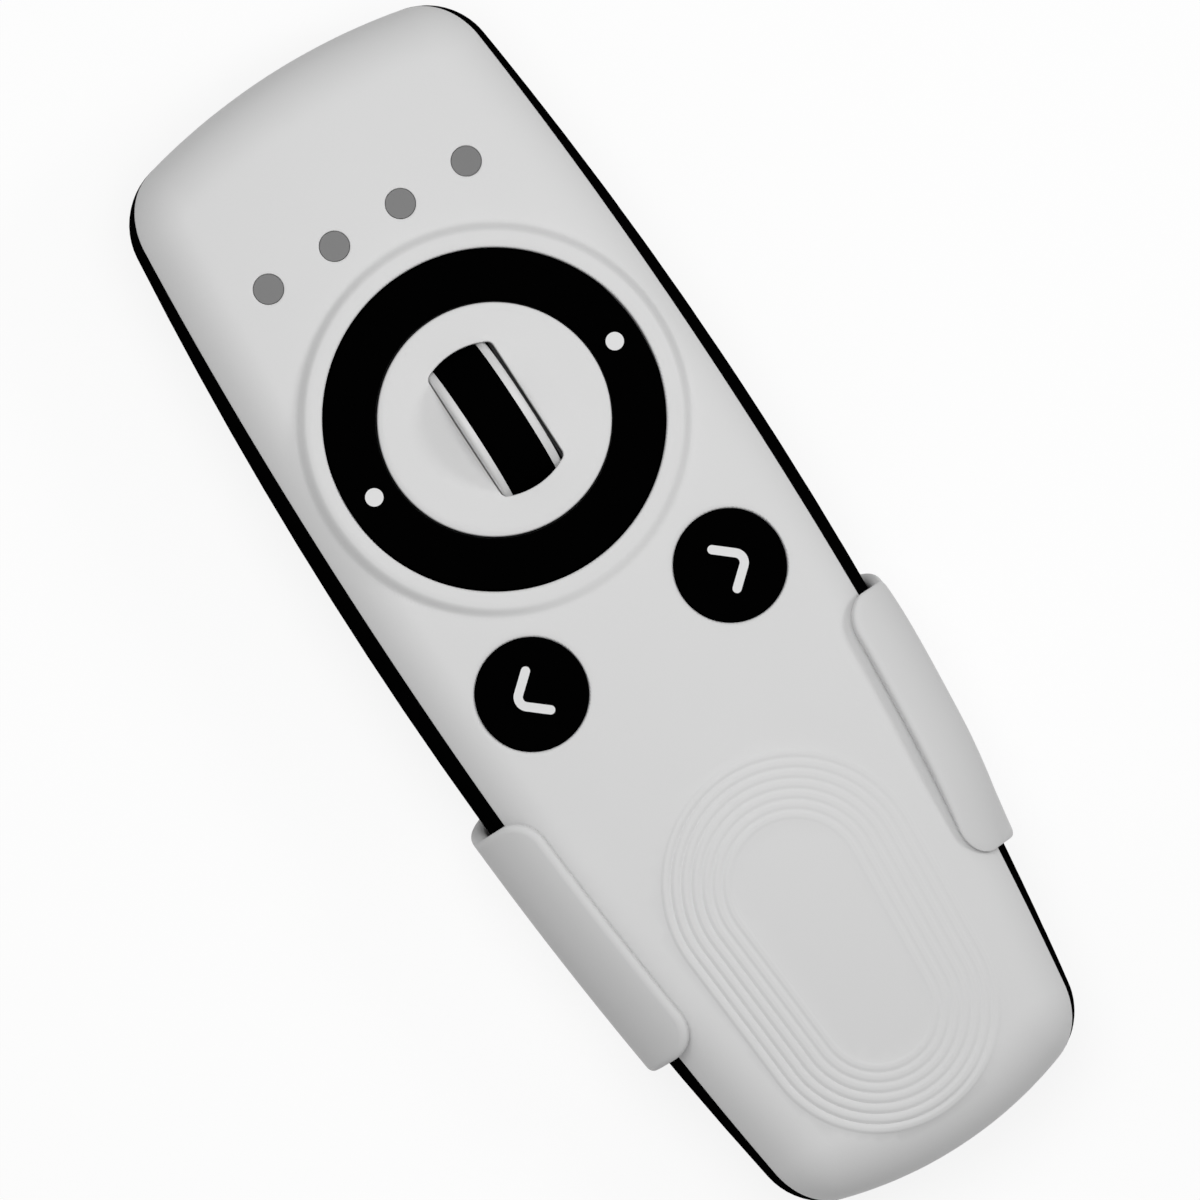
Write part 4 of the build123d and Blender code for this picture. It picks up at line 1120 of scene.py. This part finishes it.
def seam_reach(foot, normal):
    """Stretched distance from the edge balls' centre line to the seam, found by halving."""
    near = np.zeros(len(foot))
    far = np.full(len(foot), seam_search)
    for _ in range(seam_halvings):
        out = (near + far) / 2
        point = edge_point(foot, normal, out, np.zeros(len(foot)))
        above = point[:, 2] > seam_height(point[:, 1]) + seam_reveal
        near = np.where(above, out, near)
        far = np.where(above, far, out)
    return (near + far) / 2


def rim_stations(step):
    """Core points and outward normals round the outline, about step apart on its outer side."""
    def heading(point, centre):
        return np.arctan2(point[1] - centre[1], point[0] - centre[0])
    stops = (-np.pi / 2, heading(low_corner, low_centre), heading(low_corner, side_centre),
             heading(top_corner, side_centre), heading(top_corner, top_centre), np.pi / 2)
    arcs = ((low_centre, bottom_radius - corner_radius), (low_corner, 0), (side_centre, side_core),
            (top_corner, 0), (top_centre, top_radius - corner_radius))
    cores, normals = [], []
    for (centre, radius), start, end in zip(arcs, stops, stops[1:]):
        count = int(np.ceil((radius + 2 * corner_radius) * (end - start) / step))
        normals.append(circled(np.linspace(start, end, count, endpoint=False)))
        cores.append(centre + radius * normals[-1])
    cores, normals = np.concatenate(cores), np.concatenate(normals)
    top = top_centre + (0, top_radius - corner_radius)
    mirror = (-1, 1)
    return (np.concatenate((cores, [top], cores[:0:-1] * mirror)),
            np.concatenate((normals, [(0.0, 1.0)], normals[:0:-1] * mirror)))


def pad_depth(place):
    """Distance inside the finger pad's outline, the hull of a larger and a smaller circle."""
    from_top = place - pad_top
    across, down = np.abs(from_top[:, 0]), -from_top[:, 1]
    sine = (pad_top_radius - pad_bottom_radius) / pad_spacing
    cosine = np.sqrt(1 - sine**2)
    along = down * cosine - across * sine
    flank_gap = across * cosine + down * sine - pad_top_radius
    low_gap = np.hypot(across, down - pad_spacing) - pad_bottom_radius
    gap = np.where(along > cosine * pad_spacing, low_gap, flank_gap)
    return -np.where(along < 0, np.hypot(across, down) - pad_top_radius, gap)


def pad_loop(depth, step):
    """A loop at one depth inside the finger pad's outline: two arcs and the runs between them."""
    tilt = np.arcsin((pad_top_radius - pad_bottom_radius) / pad_spacing)
    count = int(np.ceil(np.pi * pad_top_radius / step))
    top_turn = np.linspace(-tilt, np.pi + tilt, count)
    low_turn = np.linspace(np.pi + tilt, 2 * np.pi - tilt, count)
    pad_low = pad_top - (0, pad_spacing)
    top_arc = pad_top + (pad_top_radius - depth) * circled(top_turn)
    low_arc = pad_low + (pad_bottom_radius - depth) * circled(low_turn)
    share = np.linspace(0, 1, int(pad_spacing / step))[1:-1, None]
    left_run = top_arc[-1] + (low_arc[0] - top_arc[-1]) * share
    right_run = low_arc[-1] + (top_arc[0] - low_arc[-1]) * share
    return np.concatenate((top_arc, left_run, low_arc, right_run))


def circle_at(centre, radius, step):
    """Points of a circle in the stretched plan, about step apart."""
    count = int(np.ceil(2 * np.pi * radius / step))
    return stretched(centre + radius * circled(np.linspace(0, 2 * np.pi, count, endpoint=False)))


window_centres = [np.array(((i - 1.5) * window_pitch, windows_y)) for i in range(4)]
key_centres = [np.array((side * key_offset, keys_y)) for side in (-1, 1)]
openings = [(panel_centre, ring_opening, shell_edge, opening_step)]
openings += [(centre, window_opening, window_edge, window_step) for centre in window_centres]
openings += [(centre, key_opening, shell_edge, opening_step) for centre in key_centres]
core, outward = rim_stations(rim_step)
foot = core + outward * (corner_radius - face_edge)
reach = seam_reach(foot, outward)
rims = [foot + outward * reach[:, None]]
rims += [circle_at(centre, radius, step) for centre, radius, _, step in openings]
extra = []
for centre, radius, edge, step in openings:
    steps = edge * (1 - np.cos(np.linspace(0, np.pi / 2, opening_edge_points)[1:]))
    extra += [circle_at(centre, radius + away, step) for away in (*steps, edge + step)]
slope = np.arange(panel_slope_start, panel_slope_end + slope_pitch / 2, slope_pitch)
slope_radii = (slope_apart[0], *slope, *slope_apart[1:])
extra += [circle_at(panel_centre, radius, slope_step) for radius in slope_radii]
loop_pitch = ridge_pitch / loops_per_ridge
pad_end = (ridge_count - 0.5) * ridge_pitch
pad_depths = np.arange(-ridge_pitch / 2, pad_end + loop_pitch / 2, loop_pitch)
extra += [pad_loop(inset, pad_step) for inset in pad_depths]
loose = [foot + outward * (reach - inset)[:, None] for inset in edge_insets]
flank_shares = np.linspace(0, 1, flank_loops)
loose += [foot + outward * ((reach - flank_inset) * share)[:, None] for share in flank_shares]
fill_x, fill_y = np.meshgrid(np.arange(-half_width, half_width, crown_step),
                             np.arange(bottom_end, top_end, crown_step))
fill = np.column_stack((fill_x.ravel(), fill_y.ravel()))
_, _, fill_out = nearest_rim(fill, face_edge)
loose.append(fill[fill_out < -crown_inset])
loose = np.concatenate(loose)
place = face_point(loose, np.zeros(len(loose)))[:, :2]
free = distance(place, panel_centre) > panel_clearance
for centre, radius, edge, step in openings[1:]:
    free &= distance(place, centre) > radius + edge + 2 * step
in_pad = pad_depth(place)
free &= (in_pad < pad_depths[0] - pad_clearance) | (in_pad > pad_depths[-1] + pad_clearance)
plan = np.concatenate((*rims, *extra, loose[free]))
triangles = triangulate(plan, [len(rim) for rim in rims])
place = face_point(plan, np.zeros(len(plan)))[:, :2]
foot, outward, out = nearest_rim(plan, face_edge)
fall = rolled(seam_reach(foot, outward) - out, shell_edge)
for centre, radius, edge, _ in openings:
    fall = np.maximum(fall, rolled(distance(place, centre) - radius, edge))
in_pad = pad_depth(place)
ridged = (in_pad > pad_depths[0]) & (in_pad < pad_depths[-1])
from_middle = (place - pad_top + (0, pad_spacing / 2)) / pad_top_radius
worn = np.clip(wear_gain * (from_middle @ worn_towards), least_worn, most_worn)
wave = 0.5 + 0.5 * np.cos(2 * np.pi * in_pad / ridge_pitch)
inward_share = np.clip(in_pad / pad_depths[-1], 0, 1)
valley = (1 - wave)**crest_breadth
rise = ridge_height * (1 - worn) * (1 - ridge_fade * inward_share) * (1 - valley)
fall -= np.where(ridged, rise, 0)
panel_reach = distance(place, panel_centre)
down = np.clip((panel_reach - panel_slope_start) / (panel_slope_end - panel_slope_start), 0, 1)
raised = 0.5 + 0.5 * np.cos(np.pi * down)
face_skin = face_point(plan, -fall)
face_skin[:, 2] += (panel_z - fall - face_skin[:, 2]) * raised
inner_skin = face_point(plan, np.full(len(plan), -shell_wall))
inner_skin[:, 2] += (panel_z - shell_wall - inner_skin[:, 2]) * raised
boss_low, boss_high = panel_z - boss_depth, panel_z - shell_wall
bosses = [pin_solid((x, wheel_y + y, boss_low), (x, wheel_y + y, boss_high), boss_radius)
          for x in (-boss_offset, boss_offset) for y in (-boss_offset, boss_offset)]
front = two_skins("front_shell_skin", face_skin, inner_skin, triangles, shell_abs, bosses)
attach(front, "remote")
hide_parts("front_shell")
